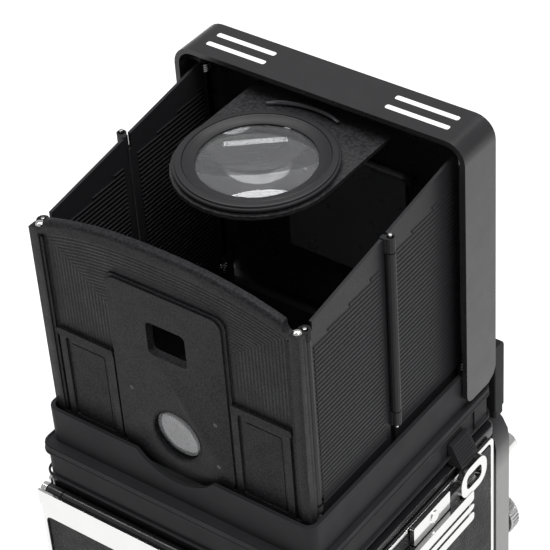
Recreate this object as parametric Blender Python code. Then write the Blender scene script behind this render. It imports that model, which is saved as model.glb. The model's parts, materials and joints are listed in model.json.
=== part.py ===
"""Twin lens reflex camera for 120 film, with its focusing hood standing open.

Row frame: +Z up, the two lenses look along -Y, the operator stands at +Y, and the
operator's right hand is at -X. The origin is on the base, below the middle of the
camera. Every dimension here is in millimetres; MM turns it into Blender's metres.
"""
import math

import bmesh
import bpy
from mathutils import Matrix, Vector

MM = 0.001
GAP = 0.3                      # running clearance between neighbouring pieces

# ---- body ----
BODY_HALF_W = 37.2             # half width of the die-cast body
BODY_FRONT = -23.5             # y of its front wall
BODY_BACK = 44.4               # y of the film side, where the door closes
BODY_WALL = 1.5
PLATE_TOP = 2.6                # top of the base plate
SHELL_BOTTOM = PLATE_TOP + GAP
SHELL_TOP = 116.8
DECK_BOTTOM = SHELL_TOP + GAP
DECK_TOP = 120.0
LIGHT_HALF = 28.5              # half width of the square light path to the screen

# ---- optics ----
TAKING_Z = 48.0                # height of the taking lens axis
VIEWING_Z = 91.0               # height of the viewing lens axis
MIRROR_Y = 10.0                # where the viewing axis meets the mirror
SCREEN_BOTTOM = 126.5
SCREEN_THICK = 1.5
SCREEN_HALF = 30.0
GATE_HALF = 27.5               # half of the 55 mm film gate
FLANGE_HALF = 29.7             # half of the light box's flange round the gate
FRONT_TRAVEL = 6.8             # forward travel of the lens standard
LENS_FRONT = -48.5             # y of the foremost lens rim

# ---- film path ----
SPOOL_HALF = 32.5
FLANGE_R = 12.3
FLANGE_T = 1.2
CORE_R = 5.8
SPOOL_BORE_R = 3.2
SPINDLE_R = 2.8                # what turns inside a spool's bore
TAKE_UP = (28.0, 92.0)         # y and z of the take-up spool axis
SUPPLY = (8.0, 17.2)           # y and z of the supply spool axis
ROLLER_Y = 40.6
ROLLER_R = 2.9
JOURNAL_R = 1.0                # the rollers' thin ends
ROLLER_ZS = {"upper": 81.6, "lower": 14.4}
EAR_X = (31.4, 33.0)           # |x| of the ears that carry the rollers
CRANK = (10.0, 70.0)           # y and z of the crank axis
GEAR_TEETH = 20

# ---- focusing ----
FOCUS = (-3.0, 70.0)           # y and z of the focusing shaft
CAM_R_MIN = 5.0                # cam radius at infinity

# ---- lens board ----
BOARD_FRONT = BODY_FRONT - 6.0
BOARD_Z = (26.0, 119.6)
BOARD_CORNER_R = 9.0
WHEEL = (31.0, 81.0)           # |x| and z of the speed and aperture wheels
BUTTON = (22.0, 34.0)          # x and z of the release button
SOCKET = (-33.0, 103.0)        # x and z of the flash socket
FOLLOWER_X = 29.0              # |x| of the cam followers
BARREL_SEAT_R = 14.6           # both lens barrels fit the board with this radius
LENS_R = 12.2

# ---- back door ----
DOOR_HINGE = (46.3, 118.3)     # y and z of the door's hinge pin
DOOR_BARREL_R = 1.3
DOOR_BORE_R = 0.85
DOOR_BARREL_HALF = 30.9        # the door's barrel ends here, between the body's two lugs
DOOR_HALF_W = 37.0
DOOR_IN = 44.9
DOOR_OUT = 47.4
DOOR_BOTTOM = 3.2
DOOR_TOP = 115.9
LIP_IN = 47.9                  # the door's outer skin rises past its hinge, this far back
LIP_TOP = 119.2
BACK_FACE = 48.5               # rearmost face of the camera
DOOR_PANEL = ((-35.6, 35.6), (4.8, 111.8))   # the recess for the leatherette
LUG_X = (31.3, 36.4)           # |x| of the body's hinge lugs
LATCH_AXIS = (46.2, 1.7)       # y and z of the latch's hinge
LATCH_HALF = 8.9

# ---- hood base ----
RIM_Y = -12.0                  # y of the lid's rear rim
HOOD_Z = 141.0                 # z of the base frame's upper edge
BASE_HALF_W = 35.3
BASE_REAR = 43.4
BASE_WALL = 0.9
TIER_BOTTOM = 121.7
BEAD_Z = (129.9, 131.5)        # the bead round the frame
CATCH_Y = (-13.3, -4.7)
CATCH_Z = (121.7, 127.9)
CATCH_SLOT_Y = (-16.4, -2.6)   # the catches slide in these slots

# ---- lid ----
LID_HALF_W = 37.0
LID_TOP = HOOD_Z + 61.4
LID_BOTTOM = HOOD_Z - 7.2
LID_DEPTH = 11.6
LID_SHEET = 1.2
LID_CORNER_R = 4.8
LID_FRONT = RIM_Y - LID_DEPTH
LID_PIVOT = (RIM_Y - 6.6, HOOD_Z - 2.6)   # y and z of the lid's hinge

# ---- folding side walls ----
END_X = 32.8                   # |x| of the front and rear wall hinges
MID_X = 33.95                  # |x| of the middle hinge
SHEET_X = 32.6                 # |x| of the sheet's middle plane
SHEET_T = 0.7
WALL_FRONT_Y = RIM_Y - 5.0
WALL_MID_Y = RIM_Y + 22.5
WALL_REAR_Y = RIM_Y + 50.0
WALL_BOTTOM = HOOD_Z - 3.0
WALL_TOP_MID = HOOD_Z + 52.6
WALL_SLOPE = 0.152             # fall of the wall's top edge per millimetre rearwards
BARREL_R = 1.1
BORE_R = 0.75
PIN_R = 0.42
KNUCKLE_LOW = HOOD_Z + 2.6     # end hinges' barrels begin here
MID_LOW = HOOD_Z + 3.6         # the middle hinge's barrel begins here
MID_GAP = 0.8                  # from the middle hinge's plane to each sheet's edge
END_KNUCKLE = 3.5              # length of the middle hinge's end knuckles
FRONT_BOSSES = ((HOOD_Z + 0.6, HOOD_Z + 2.2), (HOOD_Z + 55.9, HOOD_Z + 57.6))
REAR_BOSSES = ((HOOD_Z + 0.5, HOOD_Z + 2.2), (HOOD_Z + 46.3, HOOD_Z + 48.3))

# ---- rear panel ----
PANEL_IN = RIM_Y + 51.4
PANEL_FIELD = RIM_Y + 52.6
PANEL_FACE = RIM_Y + 53.4
PANEL_HALF_W = 33.8
PANEL_BOTTOM = HOOD_Z - 4.0
PANEL_SHOULDER = HOOD_Z + 49.5
PANEL_CREST = HOOD_Z + 54.9
PANEL_EDGE = 2.4               # width of the raised edge round the field
PLATE_HALF_W = 14.6            # the raised plate in the middle
PAD_X = (15.2, 29.8)           # |x| of the pads beside it
PAD_EDGE = 1.6
FINDER_WINDOW = ((-5.0, 5.0), (HOOD_Z + 27.5, HOOD_Z + 36.0))
EYEPIECE = (0.0, HOOD_Z + 7.0)
EYEPIECE_R = 6.3

# ---- magnifier ----
MAG_PIVOT = (RIM_Y - 7.6, HOOD_Z + 55.65)
MAG_ARM = 27.6                 # hinge axis to lens axis
MAG_PLATE_Z = (HOOD_Z + 55.2, HOOD_Z + 56.1)
MAG_R = 17.9
MAG_BORE_R = 13.9

# ---- finder flap ----
FLAP_AXIS = (RIM_Y - 9.25, HOOD_Z + 40.2)  # y and z of the flap's hinge, inside the lid
FLAP_HALF_W = 15.9


# ------------------------------------------------------------------ materials
def material(name, colour, roughness, metallic=0.0, alpha=1.0):
    mat = bpy.data.materials.new(name)
    mat.use_nodes = True
    shader = mat.node_tree.nodes["Principled BSDF"]
    shader.inputs["Base Color"].default_value = (*colour, 1.0)
    shader.inputs["Roughness"].default_value = roughness
    shader.inputs["Metallic"].default_value = metallic
    shader.inputs["Alpha"].default_value = alpha
    return mat


def make_materials():
    return {
        "satin_black": material("satin_black", (0.03, 0.03, 0.03), 0.4),
        "wrinkle_black": material("wrinkle_black", (0.035, 0.037, 0.036), 0.6),
        "matt_black": material("matt_black", (0.015, 0.015, 0.015), 0.8),
        "chrome": material("chrome", (0.8, 0.8, 0.8), 0.12, 1.0),
        "grey_metal": material("grey_metal", (0.6, 0.6, 0.59), 0.4, 0.6),
        "steel": material("steel", (0.55, 0.55, 0.56), 0.3, 1.0),
        "leatherette": material("leatherette", (0.02, 0.02, 0.02), 0.65),
        "glass": material("glass", (0.85, 0.9, 0.92), 0.05, 0.0, 0.4),
        "mirror": material("mirror", (0.9, 0.9, 0.9), 0.03, 1.0),
        "brass": material("brass", (0.7, 0.55, 0.3), 0.35, 1.0),
    }


# ------------------------------------------------------------- shape helpers
def clear_scene():
    for obj in list(bpy.data.objects):
        bpy.data.objects.remove(obj, do_unlink=True)


def along(axis, u, v, w):
    """A point with u, v in the plane across axis, and w along it."""
    return {"X": (w, u, v), "Y": (u, w, v), "Z": (u, v, w)}[axis]


def solid(loops, closed_ring=False):
    """A closed body through equal loops of points: capped ends, or a ring."""
    mesh = bmesh.new()
    rows = [[mesh.verts.new(Vector(p) * MM) for p in loop] for loop in loops]
    pairs = list(zip(rows, rows[1:]))
    if closed_ring:
        pairs.append((rows[-1], rows[0]))
    else:
        mesh.faces.new(rows[0])
        mesh.faces.new(rows[-1])
    for low, high in pairs:
        for i in range(len(low)):
            j = (i + 1) % len(low)
            mesh.faces.new((low[i], low[j], high[j], high[i]))
    bmesh.ops.recalc_face_normals(mesh, faces=mesh.faces)
    data = bpy.data.meshes.new("shape")
    mesh.to_mesh(data)
    mesh.free()
    obj = bpy.data.objects.new("shape", data)
    bpy.context.scene.collection.objects.link(obj)
    return obj


def prism(outline, axis, low, high):
    return solid([[along(axis, u, v, w) for u, v in outline] for w in (low, high)])


def block(x, y, z):
    """A box from three (low, high) pairs."""
    outline = [(x[0], y[0]), (x[1], y[0]), (x[1], y[1]), (x[0], y[1])]
    return prism(outline, "Z", z[0], z[1])


def arc(centre, radius, start, end, steps):
    """Points on an arc, both ends included; angles in degrees."""
    points = []
    for i in range(steps + 1):
        a = math.radians(start + (end - start) * i / steps)
        points.append((centre[0] + radius * math.cos(a), centre[1] + radius * math.sin(a)))
    return points


def rounded(u, v, radius, steps=4):
    """A rounded rectangle from two (low, high) pairs."""
    points = []
    corners = [(u[1], v[1], 0), (u[0], v[1], 90), (u[0], v[0], 180), (u[1], v[0], 270)]
    for cu, cv, start in corners:
        centre = (cu - math.copysign(radius, cu - sum(u) / 2), cv - math.copysign(radius, cv - sum(v) / 2))
        points += arc(centre, radius, start, start + 90, steps)
    return points


def circle(centre, radius, count=24):
    return arc(centre, radius, 0, 360 * (count - 1) / count, count - 1)


def rod(axis, centre, radius, low, high, count=12):
    return prism(circle(centre, radius, count), axis, low, high)


def turned(axis, centre, profile, count=28, closed_ring=False):
    """A body of revolution from (radius, height) pairs."""
    loops = []
    for radius, height in profile:
        loops.append([along(axis, u, v, height) for u, v in circle(centre, radius, count)])
    return solid(loops, closed_ring)


def combine(base, operation, *others):
    """Join or cut with the other shapes, which are used up."""
    for other in others:
        step = base.modifiers.new("step", "BOOLEAN")
        step.operation = operation
        step.solver = "EXACT"
        step.object = other
        bpy.context.view_layer.update()
        result = bpy.data.meshes.new_from_object(base.evaluated_get(bpy.context.evaluated_depsgraph_get()))
        base.modifiers.clear()
        base.data = result
        bpy.data.objects.remove(other, do_unlink=True)
    return base


def join(base, *others):
    return combine(base, "UNION", *others)


def cut(base, *others):
    return combine(base, "DIFFERENCE", *others)


def tilt(obj, axis, degrees, about):
    """Turn a shape about a line along a main axis through a point."""
    centre = Vector(about) * MM
    turn = Matrix.Rotation(math.radians(degrees), 4, axis)
    obj.data.transform(Matrix.Translation(centre) @ turn @ Matrix.Translation(-centre))
    return obj


def mirror_x(obj):
    """The shape on the other side of the middle plane."""
    obj.data.transform(Matrix.Scale(-1, 4, (1, 0, 0)))
    obj.data.flip_normals()
    return obj


def piece(name, obj, mat, origin=(0, 0, 0)):
    """Name a finished shape, give it a material, and put its origin on its joint."""
    obj.name = name
    obj.data.name = name
    obj.data.materials.clear()
    obj.data.materials.append(mat)
    offset = Vector(origin) * MM
    obj.data.transform(Matrix.Translation(-offset))
    obj.location = offset
    obj.data.shade_smooth()
    obj.data.set_sharp_from_angle(angle=math.radians(30))
    return obj


# -------------------------------------------------------------------- body
def build_body_shell(m):
    outer = (-BODY_HALF_W, BODY_HALF_W)
    inner = (-BODY_HALF_W + BODY_WALL, BODY_HALF_W - BODY_WALL)
    shell = prism(rounded(outer, (BODY_FRONT, BODY_BACK), 2.0, 3), "Z", SHELL_BOTTOM, SHELL_TOP)
    room = block(inner, (BODY_FRONT + BODY_WALL, BODY_BACK + 1), (SHELL_BOTTOM + BODY_WALL, SHELL_TOP + 1))
    cut(shell, room)
    lens_ports = [rod("Y", (0, z), 17.0, BODY_FRONT - 1, BODY_FRONT + 3, 32) for z in (TAKING_Z, VIEWING_Z)]
    follower_ports = [rod("Y", (x, FOCUS[1]), 2.3, BODY_FRONT - 1, BODY_FRONT + 3) for x in (-29, 29)]
    cut(shell, *lens_ports, *follower_ports)
    left_bores = [(FOCUS, 2.0), (TAKE_UP, 3.3), (SUPPLY, 3.3)]
    for centre, radius in left_bores:
        cut(shell, rod("X", centre, radius, BODY_HALF_W - 3, BODY_HALF_W + 1))
    cut(shell, rod("X", CRANK, 2.3, -BODY_HALF_W - 1, -BODY_HALF_W + 3))
    join(shell, rod("X", SUPPLY, SPINDLE_R, -BODY_HALF_W + 0.7, -SPOOL_HALF + 1.3))
    for side in (-1, 1):
        x = sorted((side * LUG_X[0], side * LUG_X[1]))
        lug = rod("X", DOOR_HINGE, DOOR_BARREL_R, *x, 20)
        foot = block(x, (BODY_BACK - 1, DOOR_HINGE[0]), (SHELL_TOP - 0.6, SHELL_TOP))
        web = block(x, (BODY_BACK + 0.4, DOOR_HINGE[0]), (SHELL_TOP - 0.6, DOOR_HINGE[1]))
        join(shell, foot, web, lug)
        bore_x = sorted((side * (LUG_X[0] - 1), side * (LUG_X[1] - 0.4)))
        cut(shell, rod("X", DOOR_HINGE, DOOR_BORE_R, *bore_x))
    piece("body_shell", shell, m["matt_black"])


def build_base_plate(m):
    plate = prism(rounded((-BODY_HALF_W, BODY_HALF_W), (BODY_FRONT, BODY_BACK), 2.0, 3), "Z", 0, PLATE_TOP)
    cut(plate, rod("Z", (0, 0), 8.3, -1, 4, 24))
    cut(plate, block((-13.3, 13.3), (28.7, 50), (-1, 1.9)))
    piece("base_plate", plate, m["chrome"])
    bush = turned("Z", (0, 0), [(3.2, 0), (8.0, 0), (8.0, PLATE_TOP - 0.4), (3.2, PLATE_TOP - 0.4)], 24, True)
    piece("tripod_bush", bush, m["steel"])


def build_top_deck(m):
    outline = rounded((-BODY_HALF_W, BODY_HALF_W), (BODY_FRONT, BODY_BACK + 0.1), 2.0, 3)
    deck = prism(outline, "Z", DECK_BOTTOM, DECK_TOP)
    hole = (MIRROR_Y - LIGHT_HALF, MIRROR_Y + LIGHT_HALF)
    kerb = (MIRROR_Y - SCREEN_HALF - 1.2, MIRROR_Y + SCREEN_HALF + 1.2)
    join(deck, block((-SCREEN_HALF - 1.2, SCREEN_HALF + 1.2), kerb, (DECK_BOTTOM + 1, SCREEN_BOTTOM - GAP)))
    cut(deck, block((-LIGHT_HALF, LIGHT_HALF), hole, (DECK_BOTTOM - 1, SCREEN_BOTTOM + 1)))
    piece("top_deck", deck, m["grey_metal"])
    span = (MIRROR_Y - SCREEN_HALF, MIRROR_Y + SCREEN_HALF)
    screen = block((-SCREEN_HALF, SCREEN_HALF), span, (SCREEN_BOTTOM, SCREEN_BOTTOM + SCREEN_THICK))
    piece("focusing_screen", screen, m["glass"])


def build_nameplate_cover(m):
    outline = [(-27.9, 122.0), (-24.0, 122.0), (-24.0, HOOD_Z), (-26.4, HOOD_Z)]
    outline += arc((-26.4, HOOD_Z - 1.5), 1.5, 90, 180, 4)
    piece("nameplate_cover", prism(outline, "X", -36.6, 36.6), m["satin_black"])


def build_mirror(m):
    """The reflex mirror, wider towards the screen, leaning back at 45 degrees."""
    outline = [(-17, VIEWING_Z - 32), (17, VIEWING_Z - 32), (28, VIEWING_Z + 32), (-28, VIEWING_Z + 32)]
    plate = prism(outline, "Y", MIRROR_Y, MIRROR_Y + 2.0)
    tilt(plate, "X", -45, (0, MIRROR_Y, VIEWING_Z))
    piece("reflex_mirror", plate, m["mirror"])


def build_light_box(m):
    """The tapered box between the taking lens and the film gate."""
    front, rear = BODY_FRONT + BODY_WALL + GAP, BODY_BACK - 1.4
    sections = [(18.5, front), (18.5, front + 1.2), (15.2, front + 1.2), (28.7, rear - 1.4)]
    sections += [(FLANGE_HALF, rear - 1.4), (FLANGE_HALF, rear), (GATE_HALF, rear), (14, front)]
    loops = []
    for half, y in sections:
        low, high = TAKING_Z - half, TAKING_Z + half
        loops.append([(-half, y, low), (half, y, low), (half, y, high), (-half, y, high)])
    box = solid(loops, True)
    for side in (-1, 1):
        for z in ROLLER_ZS.values():
            join(box, roller_ear(side, z, rear))
    piece("light_box", box, m["matt_black"])


def roller_ear(side, z, rear):
    """An ear on the film gate's flange that carries one end of a roller."""
    inward = math.copysign(1, TAKING_Z - z)
    foot_z = TAKING_Z - inward * (FLANGE_HALF - 4.0)
    x = sorted((side * EAR_X[0], side * EAR_X[1]))
    foot_x = sorted((side * (FLANGE_HALF - 1.2), side * EAR_X[1]))
    arm = block(x, (ROLLER_Y - 2.0, rear), sorted((z - inward * 2.0, foot_z)))
    foot = block(foot_x, (rear - 1.2, rear), sorted((foot_z - inward * 2.0, foot_z)))
    join(arm, foot)
    return cut(arm, rod("X", (ROLLER_Y, z), JOURNAL_R + GAP, side * 32 - 3, side * 32 + 3))


def build_side_skins(m):
    """Leatherette and its bright frame on both side walls."""
    y, z = (-20.6, 43.6), (4.2, 118.6)
    for side, name in ((1, "left"), (-1, "right")):
        low, high = sorted((side * (BODY_HALF_W + GAP), side * (BODY_HALF_W + 1.2)))
        trim = prism(rounded(y, z, 1.5, 3), "X", low, high)
        skin = prism(rounded((y[0] + 1.5, y[1] - 1.5), (z[0] + 1.5, z[1] - 1.5), 1.0, 2), "X", low, high)
        window = rounded((y[0] + 1.2, y[1] - 1.2), (z[0] + 1.2, z[1] - 1.2), 1.0, 2)
        cut(trim, prism(window, "X", low - 1, high + 1))
        centres = [(FOCUS, 2.2), (TAKE_UP, 3.5), (SUPPLY, 3.5)] if side > 0 else [(CRANK, 2.5)]
        for centre, radius in centres:
            cut(skin, rod("X", centre, radius, low - 1, high + 1))
        piece("side_trim_" + name, trim, m["chrome"])
        piece("side_leather_" + name, skin, m["leatherette"])


def build_strap_lugs(m):
    """An eye for the strap and a grooved bar behind it, on both sides."""
    for side, name in ((1, "left"), (-1, "right")):
        face = side * (BODY_HALF_W + 1.2 + GAP)
        inner, outer = sorted((side * 39.6, side * 41.0))
        eye = prism(rounded((-14.5, -1.0), (112.2, 121.2), 4.2, 5), "X", inner, outer)
        cut(eye, prism(rounded((-12.0, -3.5), (114.5, 119.1), 2.2, 4), "X", inner - 1, outer + 1))
        bar = prism(rounded((-8.5, 22.0), (104.6, 113.4), 4.0, 5), "X", inner, outer)
        base = block(sorted((face, side * 40.0)), (0.0, 17.0), (106.5, 111.5))
        join(eye, bar, base)
        for z in (107.5, 110.2):
            groove = block(sorted((side * 40.6, side * 42)), (-5.5, 19.0), (z - 0.25, z + 0.25))
            cut(eye, groove)
        piece("strap_lug_" + name, eye, m["chrome"])


# ------------------------------------------------------------------ back door
def build_back_door(m):
    width = (-DOOR_HALF_W, DOOR_HALF_W)
    barrel_x = (-DOOR_BARREL_HALF, DOOR_BARREL_HALF)
    door = prism(rounded(width, (DOOR_IN, BACK_FACE), 0.8, 2), "Z", DOOR_BOTTOM, DOOR_TOP)
    cut(door, prism(rounded(*DOOR_PANEL, 1.5, 3), "Y", DOOR_OUT, BACK_FACE + 1))
    lip = block(width, (LIP_IN, BACK_FACE), (DOOR_TOP - 0.9, LIP_TOP))
    neck_y = (DOOR_HINGE[0] - 0.9, BACK_FACE - 0.2)
    neck = block(barrel_x, neck_y, (DOOR_TOP - 0.9, DOOR_HINGE[1] + 0.2))
    barrel = rod("X", DOOR_HINGE, DOOR_BARREL_R, *barrel_x, 20)
    join(door, lip, neck, barrel)
    cut(door, rod("X", DOOR_HINGE, DOOR_BORE_R, -32, 32))
    for side in (-1, 1):
        x = sorted((side * (LATCH_HALF + 0.5), side * (LATCH_HALF + 3.9)))
        ear = block(x, (DOOR_IN, DOOR_OUT), (0.5, DOOR_BOTTOM + 1))
        cut(ear, rod("X", LATCH_AXIS, 0.85, -14, 14))
        join(door, ear)
    piece("back_door", door, m["grey_metal"], (0, *DOOR_HINGE))
    pin_half = LUG_X[1] - 0.6
    pin = rod("X", DOOR_HINGE, DOOR_BORE_R - 0.25, -pin_half, pin_half)
    piece("door_hinge_pin", pin, m["steel"])


def build_door_latch(m):
    """The plate under the base that keeps the door shut."""
    width = (-LATCH_HALF, LATCH_HALF)
    latch = prism(rounded(width, (29.4, 45.4), 1.5, 3), "Z", 0.2, 1.4)
    tongue = block(width, (DOOR_IN, LATCH_AXIS[0]), (0.6, 1.4))
    barrel = rod("X", LATCH_AXIS, 1.1, *width)
    shank = rod("X", LATCH_AXIS, 0.55, -LATCH_HALF - 3.5, LATCH_HALF + 3.5, 12)
    join(latch, tongue, barrel, shank)
    piece("door_latch", latch, m["chrome"], (0, *LATCH_AXIS))


def build_pressure_plate(m):
    plate = prism(rounded((-31, 31), (20, 76), 1.5, 3), "Y", BODY_BACK - 1.1, BODY_BACK - 0.3)
    piece("pressure_plate", plate, m["matt_black"])


# ------------------------------------------------------------------ film path
def build_spools(m):
    for name, (y, z) in (("take_up_spool", TAKE_UP), ("supply_spool", SUPPLY)):
        half, web = SPOOL_HALF, SPOOL_HALF - FLANGE_T
        profile = [(SPOOL_BORE_R, -half), (FLANGE_R, -half), (FLANGE_R, -web), (CORE_R, -web)]
        profile += [(CORE_R, web), (FLANGE_R, web), (FLANGE_R, half), (SPOOL_BORE_R, half)]
        piece(name, turned("X", (y, z), profile, 24, True), m["matt_black"], (0, y, z))
    for name, z in ROLLER_ZS.items():
        half, end = 31.0, 33.4
        profile = [(JOURNAL_R, -end), (JOURNAL_R, -half), (ROLLER_R, -half)]
        profile += [(ROLLER_R, half), (JOURNAL_R, half), (JOURNAL_R, end)]
        roller = turned("X", (ROLLER_Y, z), profile, 20)
        piece("film_roller_" + name, roller, m["steel"], (0, ROLLER_Y, z))


def gear(centre, teeth, pitch_r, x, turn):
    """A spur gear whose straight-sided teeth leave backlash at the pitch circle."""
    module = 2 * pitch_r / teeth
    shape = [(-0.30, -1.2), (-0.11, 0.9), (0.11, 0.9), (0.30, -1.2)]
    outline = []
    for i in range(teeth):
        for part, height in shape:
            a = 2 * math.pi * (i + part + turn) / teeth
            radius = pitch_r + height * module
            outline.append((centre[0] + radius * math.cos(a), centre[1] + radius * math.sin(a)))
    return prism(outline, "X", x[0], x[1])


def build_advance(m):
    """The crank, the gear on its shaft, and the gear that turns the take-up spool."""
    dy, dz = TAKE_UP[0] - CRANK[0], TAKE_UP[1] - CRANK[1]
    pitch_r = math.hypot(dy, dz) / 2
    line = math.atan2(dz, dy) / (2 * math.pi) * GEAR_TEETH
    x = (-35.2, -34.2)
    drive = gear(CRANK, GEAR_TEETH, pitch_r, x, line)
    boss = rod("X", CRANK, 1.9, -44.2, -34.0)
    piece("crank_gear", join(drive, boss), m["brass"], (0, *CRANK))
    driven = gear(TAKE_UP, GEAR_TEETH, pitch_r, x, line + GEAR_TEETH / 2 + 0.5)
    key = rod("X", TAKE_UP, SPINDLE_R, -34.6, -31.0)
    piece("take_up_gear", join(driven, key), m["brass"], (0, *TAKE_UP))
    profile = [(2.2, -44.4), (11.5, -44.4), (12.5, -43.6), (12.5, -38.8), (2.2, -38.8)]
    disc = turned("X", CRANK, profile, 28, True)
    y, z = CRANK
    arm = prism(rounded((y - 4.5, y + 4.5), (z - 30.0, z + 8.0), 4.4, 5), "X", -46.2, -44.0)
    cut(arm, rod("X", CRANK, 2.2, -47, -43))
    grip = rod("X", (y, z - 25.5), 3.8, -48.5, -45.8, 20)
    piece("advance_crank", join(disc, arm, grip), m["chrome"], (0, *CRANK))


def build_spool_knobs(m):
    for name, (y, z) in (("upper", TAKE_UP), ("lower", SUPPLY)):
        profile = [(SPINDLE_R, 31.0), (SPINDLE_R, 39.0), (7.0, 39.0), (7.5, 39.6), (7.5, 44.4), (6.8, 45.0)]
        piece("spool_knob_" + name, turned("X", (y, z), profile, 28), m["chrome"], (0, y, z))


# ---------------------------------------------------------------- focusing
def build_focus(m):
    """Knob, cross shaft and the two spiral cams that push the lens standard."""
    profile = [(1.9, 38.9), (14.5, 38.9), (15.0, 39.5), (15.0, 46.5), (12.5, 48.5), (1.9, 48.5)]
    knob = turned("X", FOCUS, profile, 32, True)
    piece("focus_knob", knob, m["chrome"], (0, *FOCUS))
    shaft = rod("X", FOCUS, 1.6, -33.0, 48.3)
    for side in (-1, 1):
        outline = []
        steps = 36
        for i in range(steps):
            turn = 2 * math.pi * i / steps
            rise = CAM_R_MIN + FRONT_TRAVEL * turn / math.pi
            fall = CAM_R_MIN + (FRONT_TRAVEL + 0.4) * (2 * math.pi - turn) / (math.pi * 0.9)
            radius = min(rise, fall, CAM_R_MIN + FRONT_TRAVEL * 1.08)
            angle = math.pi + turn
            outline.append((FOCUS[0] + radius * math.cos(angle), FOCUS[1] + radius * math.sin(angle)))
        cam = prism(outline, "X", side * 29 - 1.5, side * 29 + 1.5)
        join(shaft, cam)
    piece("focus_shaft", shaft, m["steel"], (0, *FOCUS))


# ------------------------------------------------------------- lens standard
def build_standard(m):
    """The lens board, with the followers that its two cams push."""
    front, rear = BOARD_FRONT, BODY_FRONT - 0.4
    plate = prism(rounded((-37.0, 37.0), BOARD_Z, BOARD_CORNER_R, 5), "Y", front, rear)
    for z in (TAKING_Z, VIEWING_Z):
        cut(plate, rod("Y", (0, z), BARREL_SEAT_R + 0.4, front - 1, rear + 1, 32))
    tip_y = FOCUS[0] - CAM_R_MIN - 0.35
    for x in (-FOLLOWER_X, FOLLOWER_X):
        centre = (x, FOCUS[1])
        stem = rod("Y", centre, 1.8, rear - 1, tip_y - 1.4)
        tip = turned("Y", centre, [(1.8, tip_y - 1.6), (1.5, tip_y - 0.7), (0.5, tip_y)], 16)
        join(plate, stem, tip)
    cut(plate, rod("Y", BUTTON, 2.6, front - 1, front + 4.0, 20))
    for x in (-WHEEL[0], WHEEL[0]):
        cut(plate, rod("Y", (x, WHEEL[1]), 2.2, front - 1, front + 1.0))
    join(plate, rod("Y", SOCKET, 2.4, front - 6.0, front + 1, 20))
    piece("lens_standard", plate, m["grey_metal"])


def build_lenses(m):
    """The finder's barrel, the shutter, and a plano-convex glass in each."""
    seat, bore = (BARREL_SEAT_R, BOARD_FRONT + 5.0), (12.6, BOARD_FRONT + 5.0)
    shoulder = BOARD_FRONT - GAP
    barrel = [seat, (BARREL_SEAT_R, shoulder), (17.5, shoulder), (17.5, -44.0), (16.6, LENS_FRONT)]
    barrel += [(13.6, LENS_FRONT), (12.6, -44.5), bore]
    piece("viewing_barrel", turned("Y", (0, VIEWING_Z), barrel, 32, True), m["chrome"])
    shutter = [seat, (BARREL_SEAT_R, shoulder), (21.0, shoulder), (21.0, -37.5), (20.0, -38.2)]
    shutter += [(16.6, -38.2), (16.6, LENS_FRONT), (13.6, LENS_FRONT), (12.6, -44.5), bore]
    piece("shutter_housing", turned("Y", (0, TAKING_Z), shutter, 32, True), m["satin_black"])
    for name, z in (("viewing_lens", VIEWING_Z), ("taking_lens", TAKING_Z)):
        profile = [(LENS_R, -34.0)]
        for step in range(4):
            share = 1 - step / 3.6
            profile.append((LENS_R * share, -41.5 - 2.2 * (1 - share ** 2)))
        piece(name, turned("Y", (0, z), profile, 24), m["glass"])


def build_front_controls(m):
    front = BOARD_FRONT
    for name, x in (("speed_wheel", WHEEL[0]), ("aperture_wheel", -WHEEL[0])):
        profile = [(1.9, front + 0.2), (1.9, front - 1.6), (5.8, front - 1.6), (6.2, front - 2.0)]
        profile += [(6.2, front - 4.6), (5.8, front - 5.0)]
        wheel = turned("Y", (x, WHEEL[1]), profile, 28)
        piece(name, wheel, m["satin_black"], (x, 0, WHEEL[1]))
    profile = [(2.3, front + 1.5), (2.3, front - 1.6), (3.8, front - 1.6)]
    profile += [(3.8, front - 3.2), (3.2, front - 3.6)]
    button = turned("Y", BUTTON, profile, 24)
    piece("release_button", button, m["chrome"], (BUTTON[0], 0, BUTTON[1]))
    profile = [(21.3, -37.0), (22.8, -37.0), (22.8, -34.6), (21.3, -34.6)]
    ring = turned("Y", (0, TAKING_Z), profile, 32, True)
    lever = block((-24.5, -21.4), (-37.0, -35.4), (TAKING_Z - 2.2, TAKING_Z + 2.2))
    piece("cocking_lever", join(ring, lever), m["chrome"], (0, 0, TAKING_Z))


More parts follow.
